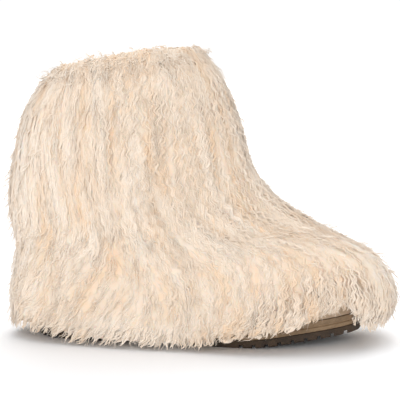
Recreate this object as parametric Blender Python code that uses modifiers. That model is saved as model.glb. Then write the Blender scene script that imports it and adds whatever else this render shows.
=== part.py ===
"""A right shearling bootie: two-part sole, insole, hollow upper on its last and a deep fleece.

Lengths are in millimetres until mesh_object() turns them into metres.  +X points to the toe, +Z up
and -Y to the outer side of a right foot.  The origin is on the floor under the middle of the heel.
"""

import math

import bmesh
import bpy
import numpy as np
from mathutils import Matrix


def table(names, *rows):
    """A table with named columns, each an array with the value of every row."""
    return dict(zip(names.split(), np.array(rows, float).T))


NAME = "shearling_bootie"
MM = 0.001

# Driving sizes
SOLE_LENGTH = 262.0
BALL_WIDTH = 96.4
COLLAR_HEIGHT = 226.0  # at the front of the upper's top edge
HEEL_HEIGHT = 21.0  # of the sole under the heel
BALL_HEIGHT = 14.8  # of the sole under the ball of the foot
TOE_SPRING = 10.0
HEEL_SETBACK = 36.0  # from the origin back to the sole's heel end
WALL = 3.0  # sheepskin leather of the upper
GAP = 0.3  # between pieces that touch

# Rings of points
COLUMNS = 44  # points round every ring, an even number
SAMPLES = 721  # places along half a ring before its points are shared out
ANGLE_SHARE = 0.45  # of the points shared out by angle, the rest by length

# Sole
OUTSOLE_THICK = 6.0
TREAD_CHAMFER = 1.1
LUG_DEPTH = 2.6
LUG_PITCH = 10.0
GROOVE_WIDTH = 3.0
GROOVE_LENGTH = 140.0  # past both sides of the sole
PLAIN_TREAD = ((-9.0, 9.0), (46.0, 90.0), (111.0, 129.0))  # heel pad, waist and ball pad in x
SIDE_STEP = 1.2  # the midsole stands back from the outsole by this
RIB_DEPTH = 0.9
RIB_LEVELS = (0.36, 0.44, 0.56, 0.64)  # where the groove in the midsole's side opens and closes
INSOLE_THICK = 5.0
INSOLE_CLEARANCE = 1.0  # to the upper's wall, and the bevel of its upper edge

# Fleece
COAT_GAP = 0.5  # between the coat and what it covers
SKIRT_GAP = 1.4  # between the coat and the sole's side
LOCK_LIFT = 8.5  # how far the locks stand off the coat
LOCK_SINK = 0.3  # share of the lift by which they lie closer to it
LOCK_CLEAR = 0.8  # least height of a lock's underside over the coat
LOCK_SPREAD = 0.40  # half a lock's width, in columns
LOCK_WAVE = 0.16  # sideways swing of a lock, in columns
LOCK_PHASE = (0.9, 0.7, 2.2)  # of that swing by row, by column and down the lock, in radians
LOCK_STEP = 2  # rings between two rows of locks, and columns between two locks of a row
HANG = 5.0  # length under the coat's lower edge for each ring that a lock runs on past it
HEM_LOCK = 6.0  # length of the teeth under the coat's lower edge
HEM_TIP_OUT = 0.9  # where the teeth's tips lie between its inner and outer side
TOP_RISE = 10.0  # of the hair above the collar
CROWN_WIDTH = 3.0  # of the coat's top edge
CROWN_ROUND = 0.75  # power of the curve from the hair's side over to that edge

# The sole seen from above: half width before the ends are rounded, and how far the middle line
# swings to the inner side, both as shares of the ball width.
SOLE_PLAN = table(
    "along half swing",
    (0.00, 0.358, 0.000),
    (0.14, 0.376, -0.004),
    (0.30, 0.367, -0.023),
    (0.44, 0.373, -0.044),
    (0.56, 0.425, -0.046),
    (0.66, 0.477, -0.035),
    (0.75, 0.500, -0.019),
    (0.84, 0.488, 0.002),
    (0.92, 0.456, 0.019),
    (1.00, 0.415, 0.033),
)
SOLE_ROUND_HEEL = 3.8
SOLE_ROUND_TOE = 3.0

# The sole from the side: height of its underside and of its top.
SOLE_PROFILE = table(
    "along under top",
    (0.00, 2.4, HEEL_HEIGHT + 1.5),
    (0.05, 0.0, HEEL_HEIGHT + 1.0),
    (0.26, 0.0, HEEL_HEIGHT),
    (0.34, 2.2, HEEL_HEIGHT - 1.0),
    (0.44, 2.2, BALL_HEIGHT + 3.0),
    (0.52, 0.0, BALL_HEIGHT + 1.4),
    (0.66, 0.0, BALL_HEIGHT),
    (0.83, 5.2, BALL_HEIGHT + 4.6),
    (1.00, TOE_SPRING, BALL_HEIGHT + TOE_SPRING - 0.4),
)

# Rings of the upper's outside, from the feather edge up to the collar.  Places along are shares of
# the sole's length and heights shares of the collar's.  Half widths near the heel, at the waist and
# near the front are shares of the ball width.  Then come the roundness of both ends, and how far
# the ring follows the hollow of the sole's top.
UPPER_RINGS = table(
    "rear rear_up front front_up heel waist fore round_rear round_front follow",
    (0.009, 0.101, 0.990, 0.109, 0.338, 0.342, 0.473, 3.70, 2.90, 1.00),
    (0.002, 0.139, 0.998, 0.153, 0.355, 0.363, 0.483, 3.60, 2.80, 0.70),
    (-0.002, 0.190, 0.977, 0.201, 0.363, 0.373, 0.465, 3.50, 2.60, 0.35),
    (-0.001, 0.243, 0.927, 0.239, 0.367, 0.378, 0.415, 3.30, 2.35, 0.10),
    (0.005, 0.301, 0.859, 0.274, 0.376, 0.378, 0.358, 3.00, 2.20, 0.00),
    (0.014, 0.367, 0.779, 0.321, 0.390, 0.380, 0.322, 2.80, 2.10, 0.00),
    (0.023, 0.442, 0.698, 0.392, 0.407, 0.390, 0.316, 2.60, 2.10, 0.00),
    (0.032, 0.527, 0.630, 0.482, 0.425, 0.411, 0.332, 2.45, 2.10, 0.00),
    (0.040, 0.611, 0.580, 0.584, 0.444, 0.436, 0.363, 2.35, 2.10, 0.00),
    (0.047, 0.695, 0.552, 0.690, 0.456, 0.456, 0.394, 2.30, 2.15, 0.00),
    (0.056, 0.779, 0.532, 0.796, 0.465, 0.467, 0.420, 2.25, 2.20, 0.00),
    (0.069, 0.854, 0.510, 0.903, 0.471, 0.473, 0.436, 2.20, 2.20, 0.00),
    (0.084, 0.920, 0.473, 1.000, 0.477, 0.477, 0.446, 2.20, 2.20, 0.00),
)
TOP_RING = len(UPPER_RINGS["rear"]) - 1
WIDTH_PLACES = {"heel": 0.16, "waist": 0.46, "fore": 0.78}
FRONT_END = 0.9  # of the fore width, at a ring's front end before it is rounded
SWING_FADE = 6.0  # rings over which the sole's swing dies out up the boot

# Depth of the hair outside the upper, the locks included.
HAIR_DEPTH = table(
    "ring rear side front",
    (0, 25.0, 28.0, 31.0),
    (1, 24.0, 28.0, 33.0),
    (2, 22.0, 28.0, 32.0),
    (3, 19.5, 28.0, 30.0),
    (4, 20.0, 28.0, 30.0),
    (5, 25.0, 29.0, 30.0),
    (6, 31.0, 29.0, 27.5),
    (7, 33.0, 28.0, 25.0),
    (8, 32.0, 27.0, 24.0),
    (9, 30.0, 25.0, 24.0),
    (10, 27.0, 22.0, 22.5),
    (11, 23.0, 19.0, 19.0),
    (12, 17.0, 13.0, 14.0),
)
DEPTH_DEGREES = (0.0, 80.0, 100.0, 180.0)  # from the rear: rear depth, side depth twice and front

# Height of the hair's lower edge round the boot, the same on both sides.
HEM_HEIGHT = table(
    "degrees height",
    (0, 9.0),
    (16, 12.0),
    (25, 9.0),
    (33, 5.5),
    (42, 3.0),
    (52, 1.6),
    (97, 1.6),
    (106, 4.0),
    (114, 9.0),
    (123, 15.0),
    (131, 20.0),
    (140, 25.0),
    (148, 28.0),
    (156, 22.0),
    (164, 17.0),
    (180, 20.0),
)

# The coat has rings under the feather edge and above the collar too, counted on from the upper's.
SKIRT_RINGS = (-2.0, -1.0, 0.0)
BODY_RINGS = 14
CROWN_RINGS = (TOP_RING + 0.3, TOP_RING + 0.62, TOP_RING + 1.0)
LOWEST_INSIDE = 0.4  # ring of the upper where the coat's inner wall first lies on it

# Share of the locks' lift that the coat leaves free under the full depth of the hair.
LOCK_ROOM = table(
    "ring share",
    (SKIRT_RINGS[0], 0.4),
    (0, 1.0),
    (TOP_RING - 1, 1.0),
    (TOP_RING, 0.4),
    (TOP_RING + 1, 0.0),
)

# Sections of a lock: rings down from its root, share of the lift, half thickness in millimetres
# and share of the width.  Its tip has only the first two.
LOCK_SECTIONS = table(
    "down lift thick wide",
    (0.9, 0.55, 2.6, 1.00),
    (2.0, 0.95, 2.2, 0.85),
    (2.9, 1.00, 1.4, 0.60),
)
LOCK_TIP = {"down": 3.6, "lift": 0.92}


def through(places, values, at):
    """Smooth curve through values at places that never overshoots them, read at a place or places."""
    places = np.asarray(places, float)
    values = np.asarray(values, float)
    step = np.diff(places)
    slope = np.diff(values) / step
    same_way = slope[:-1] * slope[1:] > 0
    middle = np.zeros(len(slope) - 1)
    middle[same_way] = 2 * (slope[:-1] * slope[1:])[same_way] / (slope[:-1] + slope[1:])[same_way]
    tangent = np.concatenate([[slope[0]], middle, [slope[-1]]])
    at = np.clip(np.asarray(at, float), places[0], places[-1])
    i = np.clip(np.searchsorted(places, at, side="right") - 1, 0, len(step) - 1)
    t = (at - places[i]) / step[i]
    start = (1 + 2 * t) * (1 - t) ** 2 * values[i] + t * (1 - t) ** 2 * step[i] * tangent[i]
    end = t**2 * (3 - 2 * t) * values[i + 1] + t**2 * (t - 1) * step[i] * tangent[i + 1]
    return start + end


def read(source, key, column, at):
    """A column of a table, read between its rows."""
    return through(source[key], source[column], at)


def sole_x(along):
    """Place in x of a share of the sole's length."""
    return SOLE_LENGTH * along - HEEL_SETBACK


def sole_along(x):
    """Share of the sole's length at x."""
    return (x + HEEL_SETBACK) / SOLE_LENGTH


def sole_under(x):
    """Height of the sole's underside at x."""
    return read(SOLE_PROFILE, "along", "under", sole_along(x))


def sole_top(x):
    """Height of the sole's top at x."""
    return read(SOLE_PROFILE, "along", "top", sole_along(x))


def outsole_top(x):
    """Height of the outsole's top at x."""
    return sole_under(x) + OUTSOLE_THICK


def sole_swing(x):
    """How far the sole's middle line lies to the inner side at x."""
    return BALL_WIDTH * read(SOLE_PLAN, "along", "swing", sole_along(x))


def rounded(cosine, power):
    """1 in the middle of a ring and 0 at its two ends, round like a superellipse."""
    return np.maximum(1 - np.abs(cosine) ** power, 0) ** (1 / power)


def even_places(x, y):
    """Index places that share half a ring out, partly by angle and partly by the line's length."""
    walked = np.concatenate([[0], np.cumsum(np.hypot(np.diff(x), np.diff(y)))])
    share = ANGLE_SHARE * np.linspace(0, 1, len(x)) + (1 - ANGLE_SHARE) * walked / walked[-1]
    return np.interp(np.linspace(0, 1, COLUMNS // 2 + 1), share, np.arange(len(x)))


def closed_ring(x, half, swing):
    """Points x, y of a whole ring from its rear, by the outer side, round the front and back."""
    at = even_places(x, half)
    index = np.arange(len(x))
    x = np.interp(at, index, x)
    half = np.interp(at, index, half)
    swing = np.interp(at, index, swing)
    outer = np.column_stack([x, swing - half])
    inner = np.column_stack([x, swing + half])
    return np.vstack([outer, inner[-2:0:-1]])


def outward(ring):
    """Unit vectors in the floor's plane that point out of a ring at its points."""
    tangent = np.roll(ring, -1, axis=0)[:, :2] - np.roll(ring, 1, axis=0)[:, :2]
    normal = np.column_stack([tangent[:, 1], -tangent[:, 0]])
    return normal / np.linalg.norm(normal, axis=1)[:, None]


def sole_ring(inset=0.0):
    """The sole's outline, moved in by inset."""
    cosine = np.cos(np.linspace(0, math.pi, SAMPLES))
    along = (1 - cosine) / 2
    power = SOLE_ROUND_HEEL + (SOLE_ROUND_TOE - SOLE_ROUND_HEEL) * along
    half = BALL_WIDTH * read(SOLE_PLAN, "along", "half", along) * rounded(cosine, power)
    x = sole_x(along)
    ring = closed_ring(x, half, sole_swing(x))
    return ring - inset * outward(ring)


def upper_half_width(row, along, cosine):
    """Half width of an upper's ring along it, from its row of the table."""
    places = [0.0, *WIDTH_PLACES.values(), 1.0]
    widths = [row[name] for name in WIDTH_PLACES]
    widths = [widths[0], *widths, widths[-1] * FRONT_END]
    power = row["round_rear"] + (row["round_front"] - row["round_rear"]) * along
    return BALL_WIDTH * through(places, widths, along) * rounded(cosine, power)


def upper_ring(ring):
    """Ring number ring of the upper's outside as x, y, z points; a fraction lies between two."""
    numbers = np.arange(TOP_RING + 1)
    row = {name: float(through(numbers, values, ring)) for name, values in UPPER_RINGS.items()}
    rear, front = sole_x(row["rear"]), sole_x(row["front"])
    cosine = np.cos(np.linspace(0, math.pi, SAMPLES))
    along = (1 - cosine) / 2
    x = rear + (front - rear) * along
    swing = sole_swing(x) * math.exp(-ring / SWING_FADE)
    flat = closed_ring(x, upper_half_width(row, along, cosine), swing)
    part = (flat[:, 0] - rear) / (front - rear)
    chord = COLLAR_HEIGHT * (row["rear_up"] * (1 - part) + row["front_up"] * part)
    sole_chord = sole_top(rear) * (1 - part) + sole_top(front) * part
    hollow = sole_top(flat[:, 0]) - sole_chord
    return np.column_stack([flat, chord + row["follow"] * hollow])


def upper_normals(ring):
    """Unit normals out of the upper on its ring number ring."""
    here = upper_ring(ring)
    up_it = upper_ring(min(ring + 0.5, TOP_RING)) - upper_ring(max(ring - 0.5, 0.0))
    normal = np.cross(np.roll(here, -1, axis=0) - np.roll(here, 1, axis=0), up_it)
    return normal / np.linalg.norm(normal, axis=1)[:, None]


def grid_normals(grid):
    """Unit normals out of a grid of rings, the first ring lowest."""
    round_it = np.roll(grid, -1, axis=1) - np.roll(grid, 1, axis=1)
    up_it = np.gradient(grid, axis=0)
    normal = np.cross(round_it, up_it)
    return normal / np.linalg.norm(normal, axis=2)[..., None]


def collection(name):
    """A new collection in the scene."""
    group = bpy.data.collections.new(name)
    bpy.context.scene.collection.children.link(group)
    return group


def material(name, colour, roughness):
    """A plain Principled material."""
    made = bpy.data.materials.new(name)
    made.use_nodes = True
    shader = made.node_tree.nodes["Principled BSDF"]
    shader.inputs["Base Color"].default_value = (*colour, 1.0)
    shader.inputs["Roughness"].default_value = roughness
    shader.inputs["Metallic"].default_value = 0.0
    return made


def mesh_object(name, points, faces, group, look):
    """An object from points in millimetres."""
    mesh = bpy.data.meshes.new(name)
    mesh.from_pydata((np.asarray(points) * MM).tolist(), [], faces)
    mesh.update()
    mesh.materials.append(look)
    made = bpy.data.objects.new(name, mesh)
    group.objects.link(made)
    return made


def quad(ring, column):
    """The quad from a ring to the next and from a column to the next, facing out."""
    following = (column + 1) % COLUMNS
    low, high = ring * COLUMNS, (ring + 1) * COLUMNS
    return (low + column, low + following, high + following, high + column)


def ring_faces(rings):
    """Every quad between rings that are numbered from the lowest."""
    return [quad(ring, column) for ring in range(rings - 1) for column in range(COLUMNS)]


def cap_faces(start, upward):
    """A cap on the ring whose first point is start: strips straight across the boot."""
    faces = []
    for i in range(COLUMNS // 2):
        left, left_next = i, i + 1
        right, right_next = (COLUMNS - i) % COLUMNS, COLUMNS - i - 1
        corners = [left, left_next, right_next, right]
        corners = [start + c for n, c in enumerate(corners) if c not in corners[:n]]
        faces.append(tuple(corners if upward else reversed(corners)))
    return faces


def stacked(name, rings, group, look):
    """A closed solid through rings from the lowest, with a cap at each end."""
    faces = ring_faces(len(rings))
    faces += cap_faces(0, upward=False)
    faces += cap_faces((len(rings) - 1) * COLUMNS, upward=True)
    return mesh_object(name, np.vstack(rings), faces, group, look)


def lifted(ring, height):
    """A flat ring with heights from a function of x."""
    return np.column_stack([ring, height(ring[:, 0])])


def groove_places():
    """Each x with a groove across the tread: none reaches into a plain stretch of it."""
    kept = []
    for x in np.arange(sole_x(0.0) + LUG_PITCH, sole_x(1.0) - LUG_PITCH, LUG_PITCH):
        low, high = x - GROOVE_WIDTH / 2, x + GROOVE_WIDTH / 2
        if all(high < start or low > end for start, end in PLAIN_TREAD):
            kept.append(x)
    return kept


def groove_cutters(group, look):
    """Bars across the outsole's underside, each square to it, that cut the grooves."""
    mesh = bmesh.new()
    for x in groove_places():
        place = Matrix.Translation((x * MM, 0.0, sole_under(x) * MM))
        slope = math.atan(sole_under(x + 0.5) - sole_under(x - 0.5))
        turn = Matrix.Rotation(-slope, 4, "Y")
        size = Matrix.Diagonal((GROOVE_WIDTH * MM, GROOVE_LENGTH * MM, 2 * LUG_DEPTH * MM, 1.0))
        bmesh.ops.create_cube(mesh, size=1.0, matrix=place @ turn @ size)
    made = mesh_object("groove_cutters", [], [], group, look)
    mesh.to_mesh(made.data)
    mesh.free()
    made.hide_render = True
    made.display_type = "WIRE"
    return made


def build_outsole(group, cutters):
    """Rubber tread with a chamfered lower edge and grooves across it."""
    look = material("dark_rubber", (0.085, 0.052, 0.032), 0.75)
    edge = sole_ring()
    rings = [
        lifted(sole_ring(TREAD_CHAMFER), sole_under),
        lifted(edge, lambda x: sole_under(x) + TREAD_CHAMFER),
        lifted(edge, outsole_top),
    ]
    made = stacked("outsole", rings, group, look)
    cut = made.modifiers.new("lug_grooves", "BOOLEAN")
    cut.operation = "DIFFERENCE"
    cut.solver = "EXACT"
    cut.object = groove_cutters(cutters, look)
    return made


def build_midsole(group):
    """Foam wedge between outsole and upper, with one groove round its side."""
    look = material("tan_foam", (0.33, 0.24, 0.165), 0.7)
    side = sole_ring(SIDE_STEP)
    groove = sole_ring(SIDE_STEP + RIB_DEPTH)

    def level(part):
        return lambda x: (outsole_top(x) + GAP) * (1 - part) + sole_top(x) * part

    opens, floor_start, floor_end, closes = RIB_LEVELS
    rings = [
        lifted(side, level(0.0)),
        lifted(side, level(opens)),
        lifted(groove, level(floor_start)),
        lifted(groove, level(floor_end)),
        lifted(side, level(closes)),
        lifted(side, level(1.0)),
    ]
    return stacked("midsole", rings, group, look)


def build_insole(group):
    """Footbed inside the upper, with a bevelled upper edge."""
    look = material("insole_cloth", (0.62, 0.52, 0.40), 0.9)
    foot = upper_ring(0.0)[:, :2]
    edge = foot - (WALL + INSOLE_CLEARANCE) * outward(foot)
    eased = foot - (WALL + 2 * INSOLE_CLEARANCE) * outward(foot)

    def above_sole(height):
        return lambda x: sole_top(x) + GAP + height

    rings = [
        lifted(edge, above_sole(0.0)),
        lifted(edge, above_sole(INSOLE_THICK - INSOLE_CLEARANCE)),
        lifted(eased, above_sole(INSOLE_THICK)),
    ]
    return stacked("insole", rings, group, look)


def build_upper(group):
    """Hollow boot of sheepskin leather, open at the collar and underneath."""
    look = material("sheepskin_leather", (0.72, 0.60, 0.46), 0.8)
    rings = [upper_ring(k) for k in range(TOP_RING + 1)]
    made = mesh_object("upper", np.vstack(rings), ring_faces(len(rings)), group, look)
    wall = made.modifiers.new("wall", "SOLIDIFY")
    wall.thickness = WALL * MM
    wall.offset = -1.0
    wall.use_even_offset = True
    wall.use_rim = True
    return made


def column_degrees():
    """Angle of each column from the rear: 0 there, 180 at the toe, the same on both sides."""
    turn = np.arange(COLUMNS) * 360.0 / COLUMNS
    return np.minimum(turn, 360.0 - turn)


def hair_depth(ring):
    """Depth of the hair at each column of ring number ring."""
    rear, side, front = (float(read(HAIR_DEPTH, "ring", key, ring)) for key in ("rear", "side", "front"))
    return through(DEPTH_DEGREES, (rear, side, side, front), column_degrees())


def coat_edge():
    """Height of the coat's lower edge at each column, with its teeth left out."""
    return read(HEM_HEIGHT, "degrees", "height", column_degrees()) + HEM_LOCK


def coat_ring(number):
    """One ring of the coat's outside, without its locks."""
    on_upper = min(max(number, 0.0), TOP_RING)
    placed, normal = upper_ring(on_upper), upper_normals(on_upper)
    room = float(read(LOCK_ROOM, "ring", "share", number))
    depth = hair_depth(on_upper) - LOCK_LIFT * room
    if number <= 0.0:
        normal[:, 2] = 0.0
        normal /= np.linalg.norm(normal, axis=1)[:, None]
    if number > TOP_RING:
        rise = math.sin((number - TOP_RING) * math.pi / 2)
        placed[:, 2] += TOP_RISE * rise
        depth = CROWN_WIDTH + (depth - CROWN_WIDTH) * (1 - rise) ** CROWN_ROUND
    placed = placed + normal * depth[:, None]
    if number < 0.0:
        down = number / SKIRT_RINGS[0]
        placed[:, 2] += down * (coat_edge() - placed[:, 2])
    return placed


def coat_outside():
    """The coat's outside as a grid of rings, from the hem to the crown."""
    body = np.linspace(0.0, TOP_RING, BODY_RINGS + 1)[1:]
    return np.array([coat_ring(number) for number in (*SKIRT_RINGS, *body, *CROWN_RINGS)])


def coat_inside():
    """The coat's inner wall as a grid of rings: round the sole, up the upper and past its collar."""
    skirt = sole_ring(-SKIRT_GAP)
    edge = coat_edge()
    shelf = np.maximum(sole_top(skirt[:, 0]) + COAT_GAP, edge + 2 * COAT_GAP)
    upper = np.array([upper_ring(k) for k in range(TOP_RING + 1)])
    upper += grid_normals(upper) * COAT_GAP
    lowest = upper[0] * (1 - LOWEST_INSIDE) + upper[1] * LOWEST_INSIDE
    crown = upper[-1] + np.array([0.0, 0.0, TOP_RISE - 2 * COAT_GAP])
    rings = [np.column_stack([skirt, edge]), np.column_stack([skirt, shelf])]
    return np.array([*rings, lowest, *upper[1:], crown])


def on_grid(grid, normals, row, column, lift):
    """A point over the grid between its points; below its first ring it runs straight down."""
    below = max(-row, 0.0)
    row = max(row, 0.0)
    k = min(int(row), len(grid) - 2)
    i = math.floor(column)
    up, over = row - k, column - i
    a, b = i % COLUMNS, (i + 1) % COLUMNS

    def mixed(values):
        low = values[k, a] * (1 - over) + values[k, b] * over
        high = values[k + 1, a] * (1 - over) + values[k + 1, b] * over
        return low * (1 - up) + high * up

    point = mixed(grid) + lift * mixed(normals)
    point[2] -= below * HANG
    return point


def lock_points(outside, normals, row, column):
    """Sections of four corners, and the tip, of a lock that grows from a quad and hangs down."""
    by_row, by_column, along = LOCK_PHASE

    def place(down, side, lift, rise):
        swing = math.sin(by_row * row + by_column * column + along * down)
        across = column + 0.5 + LOCK_WAVE * swing + side * LOCK_SPREAD
        height = max((lift - LOCK_SINK) * LOCK_LIFT + rise, LOCK_CLEAR)
        return on_grid(outside, normals, row + 0.5 - down, across, height)

    sections = []
    for down, lift, thick, wide in zip(*LOCK_SECTIONS.values()):
        corners = ((-wide, -thick), (wide, -thick), (wide, thick), (-wide, thick))
        sections.append([place(down, side, lift, rise) for side, rise in corners])
    return sections, place(LOCK_TIP["down"], 0.0, LOCK_TIP["lift"], 0.0)


def lock_roots(rings):
    """Row and column of each quad that a lock grows from, in a brick pattern."""
    roots = []
    for row in range(LOCK_STEP, rings - len(CROWN_RINGS), LOCK_STEP):
        first = (row // LOCK_STEP) % LOCK_STEP
        roots += [(row, column) for column in range(first, COLUMNS, LOCK_STEP)]
    return roots


def add_tip(points, faces, corners, tip):
    """Closes four corners with a point."""
    points.append(tip)
    for n in range(4):
        faces.append((corners[n], corners[(n + 1) % 4], len(points) - 1))


def add_hem_tooth(points, faces, corners):
    """Draws one quad of the lower edge, its outer corners first, down to a point."""
    outer = (points[corners[0]] + points[corners[1]]) / 2
    inner = (points[corners[2]] + points[corners[3]]) / 2
    tip = outer * HEM_TIP_OUT + inner * (1 - HEM_TIP_OUT)
    tip[2] = outer[2] - HEM_LOCK
    add_tip(points, faces, corners, tip)


def add_lock(points, faces, root, sections, tip):
    """Extrudes a lock from the four corners of its root through its sections to its tip."""
    ends = root
    for section in sections:
        start = len(points)
        points += section
        new_ends = tuple(range(start, start + 4))
        for n in range(4):
            m = (n + 1) % 4
            faces.append((ends[n], ends[m], new_ends[m], new_ends[n]))
        ends = new_ends
    add_tip(points, faces, ends, tip)


def build_fleece(group):
    """The coat of hair: a deep skin round the upper, with locks and hem teeth fused on."""
    look = material("cream_fleece", (0.86, 0.72, 0.58), 0.95)
    outside, inside = coat_outside(), coat_inside()
    normals = grid_normals(outside)
    roots = lock_roots(len(outside))
    points = [*outside.reshape(-1, 3), *inside.reshape(-1, 3)]
    inner_start = outside.shape[0] * COLUMNS
    top_out = inner_start - COLUMNS
    top_in = len(points) - COLUMNS
    rooted = {quad(*root) for root in roots}
    faces = [face for face in ring_faces(len(outside)) if face not in rooted]
    for a, b, c, d in ring_faces(len(inside)):
        faces.append(tuple(inner_start + index for index in (a, d, c, b)))
    for i in range(COLUMNS):
        j = (i + 1) % COLUMNS
        faces.append((top_out + i, top_out + j, top_in + j, top_in + i))
        add_hem_tooth(points, faces, (j, i, inner_start + i, inner_start + j))
    for root in roots:
        add_lock(points, faces, quad(*root), *lock_points(outside, normals, *root))
    return mesh_object("fleece", points, faces, group, look)


def main():
    for made in list(bpy.data.objects):
        bpy.data.objects.remove(made)
    group = collection(NAME)
    cutters = collection("cutters")
    build_outsole(group, cutters)
    build_midsole(group)
    build_insole(group)
    build_upper(group)
    build_fleece(group)
    for made in group.objects:
        made.data.shade_smooth()


main()
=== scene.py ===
"""Looks of a right shearling bootie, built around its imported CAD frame.

The form of the boot is worked out again from the same tables as the CAD part, in millimetres, and
turned into metres where a mesh is made.  Hair is combed over that form as guide lines, and
Geometry Nodes grow each guide into a lock of strands.
"""

import logging
import math
from dataclasses import dataclass, field
from enum import Enum

import bpy
import numpy as np
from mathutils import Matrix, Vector


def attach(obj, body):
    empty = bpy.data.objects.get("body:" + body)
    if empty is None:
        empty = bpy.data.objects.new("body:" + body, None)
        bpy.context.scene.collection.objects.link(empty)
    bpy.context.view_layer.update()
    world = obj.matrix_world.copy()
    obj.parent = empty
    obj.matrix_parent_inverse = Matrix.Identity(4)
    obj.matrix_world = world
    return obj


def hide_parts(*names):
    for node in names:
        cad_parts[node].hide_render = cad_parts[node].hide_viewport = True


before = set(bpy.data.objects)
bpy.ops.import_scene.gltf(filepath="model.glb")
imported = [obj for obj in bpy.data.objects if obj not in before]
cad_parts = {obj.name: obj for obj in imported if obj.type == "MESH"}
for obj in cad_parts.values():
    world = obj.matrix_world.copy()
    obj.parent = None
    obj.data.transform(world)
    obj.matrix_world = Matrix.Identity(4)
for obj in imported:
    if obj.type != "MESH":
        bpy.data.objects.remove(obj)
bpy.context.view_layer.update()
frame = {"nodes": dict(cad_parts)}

log = logging.getLogger("shearling_bootie")
logging.basicConfig(level=logging.INFO, format="%(message)s")

MM = 0.001
BODY = "root"
Colour = tuple[float, float, float]


class Fall(Enum):
    """How the strands of a lock lie towards its tip: the share of their spread that is left there."""

    POINTED = 0.22
    EVEN = 0.8
    LOOSE = 1.7


class Draw(Enum):
    """What a random number of a strand or a lock decides, each with a seed of its own."""

    LENGTH = 1
    ACROSS = 2
    UP = 3
    CRIMP_LENGTH = 4
    CRIMP_DRIFT = 5
    CRIMP_PHASE = 6
    TONE = 7
    FRIZZ_LENGTH = 8
    FRIZZ_PHASE = 9
    WIDTH = 10


class Kept(Enum):
    """What a mesh keeps at its points: the attribute's type, its slot and the numbers it takes."""

    NUMBER = ("FLOAT", "value", np.float32)
    COUNT = ("INT", "value", np.int32)
    VECTOR = ("FLOAT_VECTOR", "vector", np.float32)


def table(names: str, *rows: tuple[float, ...]) -> dict[str, np.ndarray]:
    """A table with named columns.

    Args:
        names: the columns' names, with spaces between them.
        rows: the values of each row.

    Returns:
        An array for each column's name.
    """
    return dict(zip(names.split(), np.array(rows, float).T))


def through(places: object, values: object, at: object) -> np.ndarray:
    """Smooth curve through values at places that never overshoots them.

    Args:
        places: where the values are known, rising.
        values: the known values.
        at: where the curve is read.

    Returns:
        The curve's values at those places.
    """
    places = np.asarray(places, float)
    values = np.asarray(values, float)
    step = np.diff(places)
    slope = np.diff(values) / step
    same_way = slope[:-1] * slope[1:] > 0
    middle = np.zeros(len(slope) - 1)
    middle[same_way] = 2 * (slope[:-1] * slope[1:])[same_way] / (slope[:-1] + slope[1:])[same_way]
    tangent = np.concatenate([[slope[0]], middle, [slope[-1]]])
    at = np.clip(np.asarray(at, float), places[0], places[-1])
    i = np.clip(np.searchsorted(places, at, side="right") - 1, 0, len(step) - 1)
    t = (at - places[i]) / step[i]
    start = (1 + 2 * t) * (1 - t) ** 2 * values[i] + t * (1 - t) ** 2 * step[i] * tangent[i]
    end = t**2 * (3 - 2 * t) * values[i + 1] + t**2 * (t - 1) * step[i] * tangent[i + 1]
    return start + end


def smooth(t: np.ndarray) -> np.ndarray:
    """Eases from 0 at 0 to 1 at 1."""
    t = np.clip(t, 0.0, 1.0)
    return t * t * (3 - 2 * t)


class SmoothNoise:
    """Smooth random values from -1 to 1 that join up round the boot."""

    def __init__(self, seed: int, rows: int, cells: int) -> None:
        """Draws the values at the lattice's points."""
        self.values = np.random.default_rng(seed).uniform(-1, 1, (rows + 2, cells))
        self.rows, self.cells = rows, cells

    def read(self, along: np.ndarray, turn: np.ndarray) -> np.ndarray:
        """Reads the noise.

        Args:
            along: place along the boot, from 0 to 1.
            turn: place round the boot, from 0 to 1.

        Returns:
            A value for each place.
        """
        up = np.clip(along, 0.0, 1.0) * self.rows
        over = (turn % 1.0) * self.cells
        row, column = np.floor(up).astype(int), np.floor(over).astype(int)
        a, b = smooth(up - row), smooth(over - column)
        left, right = column % self.cells, (column + 1) % self.cells
        low = self.values[row, left] * (1 - b) + self.values[row, right] * b
        high = self.values[row + 1, left] * (1 - b) + self.values[row + 1, right] * b
        return low * (1 - a) + high * a


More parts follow.
